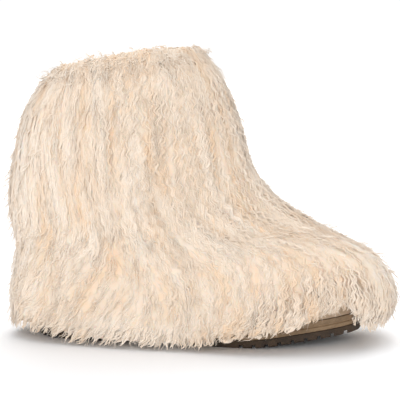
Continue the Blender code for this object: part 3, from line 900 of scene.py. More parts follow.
class StrandTree(NodeTree):
    """Geometry Nodes that grow each guide line into a lock of crimped, tapered strands."""

    FLOOR_GAP = 0.0004
    CORNERS = 3
    CIRCLE = 0.5
    CORNER_REACH = 0.433
    MOST_STRANDS = 64.0
    TONE_SPREAD = 0.12
    UP_SPREAD = 0.12
    CRIMP_LENGTHS = (0.8, 1.25)
    CRIMP_DRIFT = 0.6
    CRIMP_RISE = 0.3
    FRIZZ_LENGTHS = (0.9, 2.4)
    FRIZZ_RISE = 0.5
    TAPER = 2.2
    TIP_WIDTH = 0.1
    WIDTHS = (0.65, 1.3)
    SIZES = ("Lock spread", "Crimp height", "Crimp length", "Frizz", "Strand width",
             "Shortest strand", "Flatness")

    def __init__(self) -> None:
        """Builds the tree once, for every piece of hair."""
        super().__init__(bpy.data.node_groups.new("grow_strands", "GeometryNodeTree"))
        sockets = [("Geometry", "Geometry"), ("Strands per lock", "Int")]
        sockets += [(name, "Float") for name in self.SIZES]
        sockets += [("Seed", "Int"), ("Finish", "Material")]
        face = self.tree.interface
        for name, kind in sockets:
            face.new_socket(name=name, in_out="INPUT", socket_type="NodeSocket" + kind)
        face.new_socket(name="Geometry", in_out="OUTPUT", socket_type="NodeSocketGeometry")
        self.given = self.node("NodeGroupInput").outputs
        self.build()

    def vector(self, operation: str, *values: object) -> bpy.types.NodeSocket:
        """A Vector Math node's output."""
        return self.node("ShaderNodeVectorMath", dict(enumerate(values)), operation=operation).outputs[0]

    def scaled(self, vector: object, size: object) -> bpy.types.NodeSocket:
        """A vector times a number."""
        return self.node("ShaderNodeVectorMath", {0: vector, "Scale": size}, operation="SCALE").outputs[0]

    def attribute(self, name: str, kind: str = "FLOAT") -> bpy.types.NodeSocket:
        """A named attribute of the guides."""
        return self.node("GeometryNodeInputNamedAttribute", {0: name}, data_type=kind).outputs[0]

    def keep(self, geometry: object, name: str, value: object, kind: str = "FLOAT",
             domain: str = "POINT") -> bpy.types.NodeSocket:
        """Keeps a value on the geometry under a name.

        Args:
            geometry: the geometry.
            name: the attribute's name.
            value: the value.
            kind: its data type.
            domain: what each value belongs to.

        Returns:
            The geometry with the attribute.
        """
        inputs = {0: geometry, 2: name, 3: value}
        return self.node("GeometryNodeStoreNamedAttribute", inputs, data_type=kind, domain=domain).outputs[0]

    def random(self, draw: Draw, which: object, low: float = 0.0, high: float = 1.0) -> bpy.types.NodeSocket:
        """A random number that belongs to a strand or a lock.

        Args:
            draw: what it decides.
            which: the strand's or the lock's number.
            low: the lowest number.
            high: the highest number.

        Returns:
            The number.
        """
        seed = self.math("ADD", self.given["Seed"], float(draw.value))
        inputs = {2: low, 3: high, 7: which, 8: seed}
        return self.node("FunctionNodeRandomValue", inputs, data_type="FLOAT").outputs[1]

    def wave(self, length: object, period: object, phase: object) -> bpy.types.NodeSocket:
        """The angle of a wave at a length along a strand."""
        turns = self.math("DIVIDE", length, period)
        return self.math("MULTIPLY_ADD", turns, 2 * math.pi, phase)

    def build(self) -> None:
        """Makes the nodes from the guides to the finished mesh."""
        curves = self.node("GeometryNodeMeshToCurve", {0: self.given["Geometry"]}).outputs[0]
        inputs = {0: curves, 2: self.given["Strands per lock"]}
        copies = self.node("GeometryNodeDuplicateElements", inputs, domain="SPLINE").outputs
        lock = self.attribute("lock_number", "INT")
        curves = self.keep(copies[0], "strand_number", copies[1], "INT", "CURVE")
        number = self.attribute("strand_number", "INT")
        strand = self.math("MULTIPLY_ADD", lock, self.MOST_STRANDS, number)
        inputs = {0: curves, 3: self.random_end(strand)}
        curves = self.node("GeometryNodeTrimCurve", inputs, mode="FACTOR").outputs[0]
        curves = self.node("GeometryNodeSetPosition", {0: curves, 3: self.offset(lock, strand)}).outputs[0]
        along = self.node("GeometryNodeSplineParameter").outputs[0]
        curves = self.keep(curves, "strand_along", along)
        own = self.random(Draw.TONE, strand, -self.TONE_SPREAD, self.TONE_SPREAD)
        # The lock's tone holds painted shade from the coat's furrows; each strand adds a random tone of its
        # own.
        curves = self.keep(curves, "strand_tone", self.math("ADD", own, self.attribute("lock_tone")))
        inputs = {0: curves, 2: self.attribute("outward", "FLOAT_VECTOR")}
        curves = self.node("GeometryNodeSetCurveNormal", inputs, mode="FREE").outputs[0]
        self.finish(curves, self.profile(), self.thickness(along, strand))

    def profile(self) -> bpy.types.NodeSocket:
        """The strand's cross-section, thin from front to back, with its place across kept."""
        circle = self.node("GeometryNodeCurvePrimitiveCircle", {0: self.CORNERS, 4: self.CIRCLE}).outputs[0]
        place = self.node("GeometryNodeInputPosition").outputs[0]
        across = self.math("DIVIDE", self.split(place)[1], self.CORNER_REACH)
        marked = self.keep(circle, "strand_across", across)
        squash = self.node("ShaderNodeCombineXYZ", {0: self.given["Flatness"], 1: 1.0, 2: 1.0}).outputs[0]
        placed = self.vector("MULTIPLY", place, squash)
        return self.node("GeometryNodeSetPosition", {0: marked, 2: placed}).outputs[0]

    def random_end(self, strand: object) -> bpy.types.NodeSocket:
        """How far along its guide each strand runs."""
        spare = self.math("SUBTRACT", 1.0, self.given["Shortest strand"])
        return self.math("SUBTRACT", 1.0, self.math("MULTIPLY", spare, self.random(Draw.LENGTH, strand)))

    def offset(self, lock: object, strand: object) -> bpy.types.NodeSocket:
        """Where each strand lies beside its guide: its place in the lock, the crimp and its frizz.

        Args:
            lock: the lock's number.
            strand: the strand's number.

        Returns:
            The way from the guide to the strand.
        """
        given = self.given
        spread = self.math("MULTIPLY", given["Lock spread"], self.attribute("spread"))
        along, length = self.node("GeometryNodeSplineParameter").outputs[:2]
        outward = self.attribute("outward", "FLOAT_VECTOR")
        tangent = self.node("GeometryNodeInputTangent").outputs[0]
        side = self.vector("NORMALIZE", self.vector("CROSS_PRODUCT", tangent, outward))
        across = self.math("MULTIPLY", spread, self.random(Draw.ACROSS, strand, -1.0))
        up = self.math("MULTIPLY", spread, self.random(Draw.UP, strand, -self.UP_SPREAD, self.UP_SPREAD))
        own_length = self.random(Draw.CRIMP_LENGTH, lock, *self.CRIMP_LENGTHS)
        period = self.math("MULTIPLY", given["Crimp length"], own_length)
        drift = self.random(Draw.CRIMP_DRIFT, strand, -self.CRIMP_DRIFT, self.CRIMP_DRIFT)
        phase = self.math("ADD", self.random(Draw.CRIMP_PHASE, lock, 0.0, 2 * math.pi), drift)
        crimp = self.math("MULTIPLY", given["Crimp height"], self.attribute("crimp"))
        angle = self.wave(length, period, phase)
        across = self.math("MULTIPLY_ADD", crimp, self.math("SINE", angle), across)
        rise = self.math("MULTIPLY", self.math("COSINE", angle), self.CRIMP_RISE)
        up = self.math("MULTIPLY_ADD", crimp, rise, up)
        longer = self.random(Draw.FRIZZ_LENGTH, strand, *self.FRIZZ_LENGTHS)
        own_period = self.math("MULTIPLY", period, longer)
        own = self.wave(length, own_period, self.random(Draw.FRIZZ_PHASE, strand, 0.0, 2 * math.pi))
        frizz = self.math("MULTIPLY", given["Frizz"], along)
        across = self.math("MULTIPLY_ADD", frizz, self.math("SINE", own), across)
        frizz_up = self.math("MULTIPLY", frizz, self.FRIZZ_RISE)
        up = self.math("MULTIPLY_ADD", frizz_up, self.math("COSINE", own), up)
        return self.vector("ADD", self.scaled(side, across), self.scaled(outward, up))

    def thickness(self, along: object, strand: object) -> bpy.types.NodeSocket:
        """Width of a strand: thick in the middle and drawn out to its tip.

        Args:
            along: place along the strand, from 0 to 1.
            strand: the strand's number.

        Returns:
            The width.
        """
        left = self.math("SUBTRACT", 1.0, along)
        taper = self.math("MINIMUM", self.math("MULTIPLY_ADD", left, self.TAPER, self.TIP_WIDTH), 1.0)
        own = self.math("MULTIPLY", taper, self.random(Draw.WIDTH, strand, *self.WIDTHS))
        return self.math("MULTIPLY", own, self.given["Strand width"])

    def finish(self, curves: object, profile: object, width: object) -> None:
        """Turns the strands into one mesh with its finish.

        The faces stay flat: shading rounded over such thin strands loses light and turns wool grey.

        Args:
            curves: the strands' lines.
            profile: their cross-section.
            width: their width.
        """
        mesh = self.node("GeometryNodeCurveToMesh", {0: curves, 1: profile, 2: width, 3: True}).outputs[0]
        mesh = self.node("GeometryNodeSetShadeSmooth", {0: mesh, 2: False}).outputs[0]
        mesh = self.node("GeometryNodeRealizeInstances", {0: mesh}).outputs[0]
        inputs = {0: mesh, "Material": self.given["Finish"]}
        mesh = self.node("GeometryNodeSetMaterial", inputs).outputs[0]
        self.node("NodeGroupOutput", {0: mesh})

    def grow(self, name: str, guides: bpy.types.Object, style: StrandStyle,
             finish: bpy.types.Material) -> bpy.types.Object:
        """Grows the strands of one piece.

        Args:
            name: the piece's name.
            guides: the object that holds the guide lines; it is removed.
            style: the strands' sizes.
            finish: their material.

        Returns:
            A plain mesh object.
        """
        values = {
            "Strands per lock": style.strands,
            "Lock spread": style.spread * MM,
            "Crimp height": style.crimp_height * MM,
            "Crimp length": style.crimp_length * MM,
            "Frizz": style.frizz * MM,
            "Strand width": style.width * MM,
            "Shortest strand": style.shortest,
            "Flatness": style.flatness,
            "Seed": style.seed,
            "Finish": finish,
        }
        modifier = guides.modifiers.new("strands", "NODES")
        modifier.node_group = self.tree
        for socket in self.tree.interface.items_tree:
            if socket.in_out == "INPUT" and socket.name in values:
                modifier[socket.identifier] = values[socket.name]
        ready = guides.evaluated_get(bpy.context.evaluated_depsgraph_get())
        mesh = bpy.data.meshes.new_from_object(ready)
        mesh.name = name
        self.keep_off_floor(mesh)
        guides.modifiers.remove(modifier)
        bpy.data.objects.remove(guides)
        return linked(name, mesh)

    def keep_off_floor(self, mesh: bpy.types.Mesh) -> None:
        """Lifts what would dip into the floor onto it."""
        places = np.empty(len(mesh.vertices) * 3, np.float32)
        mesh.vertices.foreach_get("co", places)
        places[2::3] = np.maximum(places[2::3], self.FLOOR_GAP)
        mesh.vertices.foreach_set("co", places)
        mesh.update()


@dataclass(frozen=True)
class LockPlan:
    """Where the locks of one piece grow, their lengths and their heights on the coat in millimetres."""

    name: str
    count: int
    rings: tuple[float, float]
    turns: tuple[float, float]
    length: tuple[float, float]
    height: tuple[float, float]
    style: StrandStyle
    segments: int = 18
    root_sink: float = 0.06
    stray: float = 5.0
    flyaway: float = 0.0
    lift: float = 0.0
    inside: float = 0.0


@dataclass
class Comb:
    """Lays guide lines over the boot's form, along the way its hair flows."""

    form: BootForm
    root_rise: float = 0.25
    root_clear: tuple[float, float] = (0.3, 1.1)
    candidates: int = 8
    cell_share: float = 0.7
    cell_weight: float = 0.25
    nudge: float = 0.02
    rings_a_turn: float = 24.0
    shortest_nudge: float = 0.02
    flow_share: float = 0.85
    flow_radius: float = 72.0
    ring_height: float = 19.0
    streak_steps: int = 24
    streak_length: float = 7.0
    streak_ring: float = 7.0
    ankle_ring: float = 6.8
    vamp_ring: float = 2.2
    fade_rings: float = 2.0
    quarter: float = 95.0
    quarter_fade: float = 40.0
    soft_degrees: float = 25.0
    heel_sweep: float = -38.0
    vamp_sweep: float = 14.0
    toe_sweep: float = 16.0
    coat_share: float = 0.92
    coat_relief: float = 0.05
    tip_lift: float = 0.012
    flyaway_range: tuple[float, float] = (0.3, 1.0)
    flyaway_bend: float = 1.5
    lift_range: tuple[float, float] = (0.1, 1.0)
    lift_bend: float = 1.4
    fall_start: float = 0.35
    fall_length: float = 0.65
    spread_range: tuple[float, float] = (0.7, 1.3)
    crimp_start: float = 0.3
    crimp_least: float = 0.45
    crimp_gain: float = 0.75
    crimp_from: float = 55.0
    crimp_over: float = 60.0
    crimp_turn: float = 0.0022
    crimps: float = 2.3
    crimp_phase: float = 9.0
    # Painted shade: locks are paler on the coat's ridges and deeper in its furrows.
    tone_middle: float = 0.5
    shade_gain: float = 0.5
    tone_spread: float = 0.18
    ridge_start: float = 2.5
    ridge_length: float = 16.0
    broad_share: float = 0.55
    fine_share: float = 0.45
    ridges: SmoothNoise = field(default_factory=lambda: SmoothNoise(seed=3, rows=7, cells=58))
    fine_ridges: SmoothNoise = field(default_factory=lambda: SmoothNoise(seed=4, rows=14, cells=130))

    def ridge(self, ring: np.ndarray, turn: np.ndarray) -> np.ndarray:
        """Height of the coat's soft ridges.

        Args:
            ring: ring numbers.
            turn: turns.

        Returns:
            From -1 in a gap to 1 on a ridge, for each place.
        """
        over = self.streak(ring, turn)
        along = (np.asarray(ring) + self.ridge_start) / self.ridge_length
        phase = self.crimp_phase * self.ridges.read(along, over)
        wave = np.sin(2 * math.pi * ring * self.crimps + phase)
        crimp = self.crimp_turn * self.crimp_strength(turn) * wave
        fine = self.fine_share * self.fine_ridges.read(along, over + crimp)
        return self.broad_share * self.ridges.read(along, over) + fine

    def step(self, ring: np.ndarray, turn: np.ndarray, length: np.ndarray, stray: np.ndarray) -> tuple:
        """Goes a length along the hair's flow.

        Args:
            ring: ring numbers.
            turn: turns.
            length: how far to go, in millimetres.
            stray: angle from the flow, in radians.

        Returns:
            The new rings and turns.
        """
        down, over = self.nudged(ring, turn, self.flow_share)
        down = np.maximum(np.linalg.norm(down, axis=-1), self.shortest_nudge)
        over = np.maximum(np.linalg.norm(over, axis=-1), self.shortest_nudge)
        mirrored = np.where((turn % 1.0) < 0.5, 1.0, -1.0)
        angle = self.angle(ring, turn) + stray
        ring = ring - length * np.cos(angle) / down * self.nudge
        turn = turn + mirrored * length * np.sin(angle) / over * self.nudge / self.rings_a_turn
        return ring, turn

    def nudged(self, ring: np.ndarray, turn: np.ndarray, share: float) -> tuple[np.ndarray, np.ndarray]:
        """Where a small step leads.

        Args:
            ring: ring numbers.
            turn: turns.
            share: depth in the hair.

        Returns:
            The way of a small step down the rings, and of one round the boot.
        """
        here = self.form.place(ring, turn, share)
        down = self.form.place(ring - self.nudge, turn, share) - here
        over = self.form.place(ring, turn + self.nudge / self.rings_a_turn, share) - here
        return down, over

    def streak(self, ring: np.ndarray, turn: np.ndarray) -> np.ndarray:
        """Turn at which the flow through each place starts, up on the shaft.

        Args:
            ring: ring numbers.
            turn: turns.

        Returns:
            The turns up there.
        """
        ring, turn = np.array(ring, float), np.array(turn, float)
        for _ in range(self.streak_steps):
            length = np.where(ring < self.streak_ring, -self.streak_length, 0.0)
            ring, turn = self.step(ring, turn, length, 0.0)
        return turn

    def flow(self, streak: np.ndarray, ring: np.ndarray) -> np.ndarray:
        """Pattern coordinates that follow the flow and join up at the rear.

        Args:
            streak: turns at which the flow starts.
            ring: ring numbers.

        Returns:
            A place in metres for each.
        """
        round_it = 2 * math.pi * streak
        across, up = self.flow_radius * np.cos(round_it), self.flow_radius * np.sin(round_it)
        return np.stack([across, up, self.ring_height * ring], axis=-1) * MM

    def angle(self, ring: np.ndarray, turn: np.ndarray) -> np.ndarray:
        """Angle of the hair from straight down the rings, towards the toe.

        Args:
            ring: ring numbers.
            turn: turns.

        Returns:
            The angle in radians for each place.
        """
        degrees = self.form.degrees(turn)
        low = smooth((self.ankle_ring - ring) / self.fade_rings)
        heel = smooth(degrees / self.soft_degrees) * smooth((self.quarter - degrees) / self.quarter_fade)
        vamp = smooth((degrees - self.quarter) / self.soft_degrees)
        vamp = vamp * smooth((180.0 - degrees) / self.soft_degrees)
        high = smooth((ring - self.vamp_ring) / self.fade_rings)
        forward = self.vamp_sweep * high - self.toe_sweep * (1 - high)
        return np.radians(self.heel_sweep * heel * low + vamp * low * forward)

    def crimp_strength(self, turn: np.ndarray) -> np.ndarray:
        """How strongly the hair is crimped: most at the front of the shaft, least at its rear."""
        past = (self.form.degrees(turn) - self.crimp_from) / self.crimp_over
        return self.crimp_least + self.crimp_gain * smooth(past)

    def roots(self, plan: LockPlan, rng: np.random.Generator) -> tuple[np.ndarray, np.ndarray]:
        """Roots spread evenly over the plan's stretch of the boot.

        Args:
            plan: the locks to place.
            rng: the random source.

        Returns:
            The roots' rings and turns.
        """
        rings = rng.uniform(*plan.rings, (plan.count, self.candidates))
        turns = rng.uniform(*plan.turns, (plan.count, self.candidates))
        points = self.form.place(rings, turns, self.cell_share)
        cells = np.linalg.norm(np.cross(*self.nudged(rings, turns, self.cell_share)), axis=-1)
        chosen = np.zeros(plan.count, int)
        placed = np.zeros((plan.count, 3))
        for i in range(plan.count):
            gap = 1.0
            if i:
                gap = np.linalg.norm(points[i][:, None] - placed[None, :i], axis=2).min(axis=1)
            chosen[i] = int(np.argmax(gap * cells[i] ** self.cell_weight))
            placed[i] = points[i, chosen[i]]
        rows = np.arange(plan.count)
        return rings[rows, chosen], turns[rows, chosen]

    def walk(self, ring: np.ndarray, turn: np.ndarray, length: np.ndarray, segments: int,
             stray: np.ndarray) -> tuple[np.ndarray, np.ndarray]:
        """Follows the hair's flow from each root, down to the hem at most.

        Args:
            ring: the roots' rings.
            turn: the roots' turns.
            length: length of each lock.
            segments: steps along each lock.
            stray: how far each lock strays from the flow, in radians.

        Returns:
            Rings and turns, a row for each lock.
        """
        rings, turns = [ring.copy()], [turn.copy()]
        for _ in range(segments):
            ring, turn = self.step(ring, turn, length / segments, stray)
            rings.append(ring.copy())
            turns.append(turn.copy())
        return self.cut_at_hem(np.array(rings).T, np.array(turns).T)

    def cut_at_hem(self, rings: np.ndarray, turns: np.ndarray) -> tuple[np.ndarray, np.ndarray]:
        """Shortens the locks that would hang below the hem.

        Args:
            rings: ring numbers along each lock.
            turns: turns along each lock.

        Returns:
            The same number of rings and turns, over the part that is kept.
        """
        count, points = rings.shape
        index = np.arange(points)
        kept_rings, kept_turns = rings.copy(), turns.copy()
        lowest = self.form.lowest(turns[:, -1])
        for i in range(count):
            if rings[i, -1] < lowest[i]:
                end = np.interp(-lowest[i], -rings[i], index)
                at = np.linspace(0, end, points)
                kept_rings[i] = np.interp(at, index, rings[i])
                kept_turns[i] = np.interp(at, index, turns[i])
        return kept_rings, kept_turns

    def guides(self, plan: LockPlan) -> bpy.types.Object:
        """The guide lines of one piece as an object of edges with attributes.

        Args:
            plan: the locks to lay.

        Returns:
            The object.
        """
        rng = np.random.default_rng(plan.style.seed)
        each = (plan.count, 1)
        ring, turn = self.roots(plan, rng)
        ring = np.maximum(ring, self.form.lowest(turn) + rng.uniform(*self.root_clear, plan.count))
        length = rng.uniform(*plan.length, plan.count)
        stray = np.radians(rng.normal(0.0, plan.stray, plan.count))
        rings, turns = self.walk(ring, turn, length, plan.segments, stray)
        along = np.linspace(0, 1, plan.segments + 1)[None, :]
        ridge = self.ridge(rings, turns)
        height = rng.uniform(*plan.height, each) / self.form.depth(rings, turns)
        loose = plan.flyaway * rng.uniform(*self.flyaway_range, each) * along**self.flyaway_bend
        share = self.coat_share - plan.inside + self.coat_relief * ridge + height
        share = share - plan.root_sink * (1 - smooth(along / self.root_rise)) + self.tip_lift * along**2
        points = self.form.place(rings, turns, share + loose)
        points[..., 2] += plan.lift * rng.uniform(*self.lift_range, each) * along**self.lift_bend
        fall = smooth((along - self.fall_start) / self.fall_length)
        spread = np.broadcast_to(1.0 + (plan.style.fall.value - 1.0) * fall, rings.shape)
        streak = np.broadcast_to(self.streak(rings[:, :1], turns[:, :1]), rings.shape)
        spread = spread * rng.uniform(*self.spread_range, each)
        own_tone = rng.uniform(-self.tone_spread, self.tone_spread, each)
        made = self.lines(plan.name + "_guides", points)
        store(made.data, "outward", self.form.outward(rings, turns), Kept.VECTOR)
        store(made.data, "flow", self.flow(streak, rings), Kept.VECTOR)
        store(made.data, "spread", spread)
        store(made.data, "crimp", smooth(along / self.crimp_start) * self.crimp_strength(turns))
        # Painted shade: the lock's tone follows the coat's ridges, deeper in its furrows, with a random tone
        # of its own.
        store(made.data, "lock_tone", self.tone_middle + self.shade_gain * ridge + own_tone)
        lock = np.broadcast_to(np.arange(plan.count)[:, None], rings.shape)
        store(made.data, "lock_number", lock, Kept.COUNT)
        return made

    def lines(self, name: str, points: np.ndarray) -> bpy.types.Object:
        """An object of open lines.

        Args:
            name: its name.
            points: points in millimetres, a row for each line.

        Returns:
            The object, linked to the scene.
        """
        count, per_line = points.shape[:2]
        first = np.arange(count)[:, None] * per_line + np.arange(per_line - 1)[None, :]
        edges = np.stack([first, first + 1], axis=-1).reshape(-1, 2)
        mesh = bpy.data.meshes.new(name)
        mesh.from_pydata((points.reshape(-1, 3) * MM).tolist(), edges.tolist(), [])
        return linked(name, mesh)


@dataclass
class Fleece:
    """The coat of hair: a deep under-coat, and locks combed over it."""

    form: BootForm
    tree: StrandTree
    comb: Comb
    columns: int = 420
    rings: int = 118
    hem: float = 0.35
    lowest: float = -1.5
    reach: float = 0.028
    top: float = 12.97
    hem_thin: float = 0.13
    hem_rings: float = 1.3
    inner_places: tuple[float, ...] = (0.0, 0.03, 0.07, 0.11, 0.3, 0.5, 0.7, 0.93, 1.0)
    inner_rings: tuple[float, ...] = (-1.55, -1.2, -0.6, 0.0, 3.0, 12.0, 12.97)
    inner_shares: tuple[float, ...] = (0.24, 0.16, 0.12, 0.06, 0.03, 0.04, 0.3)
    inner_tone: float = 0.2
    tone_middle: float = 0.45
    shade_gain: float = 0.5
    under_wool: WoolFinish = WoolFinish("under_wool", scatter=0.6, scatter_depth=(0.0022, 0.0015, 0.001))
    curls: WoolFinish = WoolFinish("drawn_curls", fibres=4.0)
    strands: WoolFinish = WoolFinish("fine_strands", tip=(0.85, 0.74, 0.63), pale=(0.90, 0.82, 0.73),
                                     root=(0.80, 0.65, 0.51))

    def build_coat(self) -> bpy.types.Object:
        """A closed shell with soft furrows that follow the hair, under the locks."""
        form, comb = self.form, self.comb
        turn = np.arange(self.columns) / self.columns
        beside = [form.lowest(turn + shift) for shift in (-self.reach, 0.0, self.reach)]
        lowest = np.maximum(np.max(beside, axis=0) + self.hem, self.lowest)
        up = np.linspace(0.0, 1.0, self.rings)[:, None]
        rings = lowest + (self.top - lowest) * up
        turns = np.broadcast_to(turn, rings.shape)
        ridge = comb.ridge(rings, turns)
        low = smooth((lowest + self.hem_rings - rings) / self.hem_rings)
        outside = form.place(rings, turns, comb.coat_share - self.hem_thin * low + comb.coat_relief * ridge)
        inner_rings = lowest + (self.top - lowest) * np.array(self.inner_places)[:, None]
        inside = form.place(inner_rings, turn, np.interp(inner_rings, self.inner_rings, self.inner_shares))
        made = shell("fleece_under_coat", outside, inside, self.under_wool.material())
        # Painted shade: the coat is paler on its ridges and deeper in its furrows.
        tone = np.full(len(made.data.vertices), self.inner_tone, np.float32)
        tone[:ridge.size] = (self.tone_middle + self.shade_gain * ridge).ravel()
        flow = comb.flow(comb.streak(rings, turns), rings)
        outward = [form.outward(*np.broadcast_arrays(ring, turn)) for ring in (rings, inner_rings)]
        store(made.data, "strand_tone", tone)
        store(made.data, "flow", self.stacked(flow, inside * MM), Kept.VECTOR)
        store(made.data, "outward", self.stacked(*outward), Kept.VECTOR)
        return made

    def stacked(self, outside: np.ndarray, inside: np.ndarray) -> np.ndarray:
        """Vectors of both grids of a shell in the order of its points."""
        return np.vstack([outside.reshape(-1, 3), inside.reshape(-1, 3)])

    def build_locks(self, plans: list[LockPlan]) -> list[bpy.types.Object]:
        """Combs and grows every plan's locks.

        Args:
            plans: the pieces of hair.

        Returns:
            An object for each plan.
        """
        curls, strands = self.curls.material(), self.strands.material()
        made = []
        for plan in plans:
            finish = curls if plan.style.flatness < 1.0 else strands
            made.append(self.tree.grow(plan.name, self.comb.guides(plan), plan.style, finish))
        return made


@dataclass
class Lining:
    """Short wool inside the upper, from the collar down to the insole."""

    form: BootForm
    columns: int = 132
    rings: int = 48
    lowest_ring: float = 0.85
    outer_gap: float = 3.4
    pile: float = 4.2
    nub_height: float = 1.1
    fine_nub_share: float = 0.6
    outer_tone: float = 0.2
    tone_middle: float = 0.5
    shade_gain: float = 0.25
    nubs: SmoothNoise = field(default_factory=lambda: SmoothNoise(seed=11, rows=60, cells=88))
    fine_nubs: SmoothNoise = field(default_factory=lambda: SmoothNoise(seed=12, rows=108, cells=160))
    finish: WoolFinish = WoolFinish("lining_wool", edge_shade_share=0.0)

    def build(self) -> bpy.types.Object:
        """A closed shell inside the upper with a nubby inner face."""
        form = self.form
        turn = np.arange(self.columns) / self.columns
        ring = np.linspace(self.lowest_ring, form.top_ring, self.rings)
        rings, turns = np.meshgrid(ring, turn, indexing="ij")
        skin = form.sample(form.skin, rings, turns)
        normal = form.sample(form.normals, rings, turns)
        along = rings / form.top_ring
        nubs = self.nubs.read(along, turns)
        nubs += self.fine_nub_share * self.fine_nubs.read(along, turns)
        outside = skin - normal * self.outer_gap
        inside = skin - normal * (self.outer_gap + self.pile + self.nub_height * nubs)[..., None]
        made = shell("wool_lining", outside, inside, self.finish.material())
        # Painted shade: the inner face is paler on its nubs and deeper between them.
        tone = np.full(2 * nubs.size, self.outer_tone, np.float32)
        tone[nubs.size:] = (self.tone_middle + self.shade_gain * nubs).ravel()
        store(made.data, "strand_tone", tone)
        store(made.data, "flow", np.vstack([outside, inside]) * MM, Kept.VECTOR)
        return made


@dataclass
class Sole:
    """Finishes of the CAD's own outsole, midsole, insole and upper."""

    tread: SoleFinish = SoleFinish("worn_tread", light=(0.075, 0.047, 0.027), dark=(0.032, 0.020, 0.012),
                                   low_colour=(0.024, 0.016, 0.010), roughness=0.75, low_top=0.006)
    wedge: SoleFinish = SoleFinish("tan_foam_rubber", light=(0.36, 0.245, 0.145), dark=(0.22, 0.145, 0.08),
                                   low_colour=(0.16, 0.10, 0.06), roughness=0.7, low_top=0.012)
    footbed: SoleFinish = SoleFinish("footbed_pile", light=(0.80, 0.70, 0.58), dark=(0.70, 0.58, 0.45),
                                     low_colour=(0.70, 0.58, 0.45), roughness=0.9, low_top=0.001,
                                     grain_scale=500.0, grain_depth=0.001)
    hide: SoleFinish = SoleFinish("sheepskin_suede", light=(0.62, 0.47, 0.33), dark=(0.52, 0.38, 0.26),
                                  low_colour=(0.40, 0.29, 0.19), roughness=0.85, low_top=0.02,
                                  grain_scale=1400.0, grain_depth=0.0002)

    def dress(self, nodes: dict[str, bpy.types.Object]) -> None:
        """Gives each CAD node its finish.

        Args:
            nodes: the CAD nodes by name.
        """
        finishes = {"outsole": self.tread, "midsole": self.wedge, "insole": self.footbed, "upper": self.hide}
        for node, finish in finishes.items():
            nodes[node].data.materials.clear()
            nodes[node].data.materials.append(finish.material())
            log.info("dressed %s with %s", node, finish.name)


@dataclass(frozen=True)
class Lamp:
    """A square area lamp that faces the boot, or straight down, in metres and watts."""

    name: str
    place: tuple[float, float, float]
    size: float
    power: float
    colour: Colour = (1.0, 1.0, 1.0)
    down: bool = False


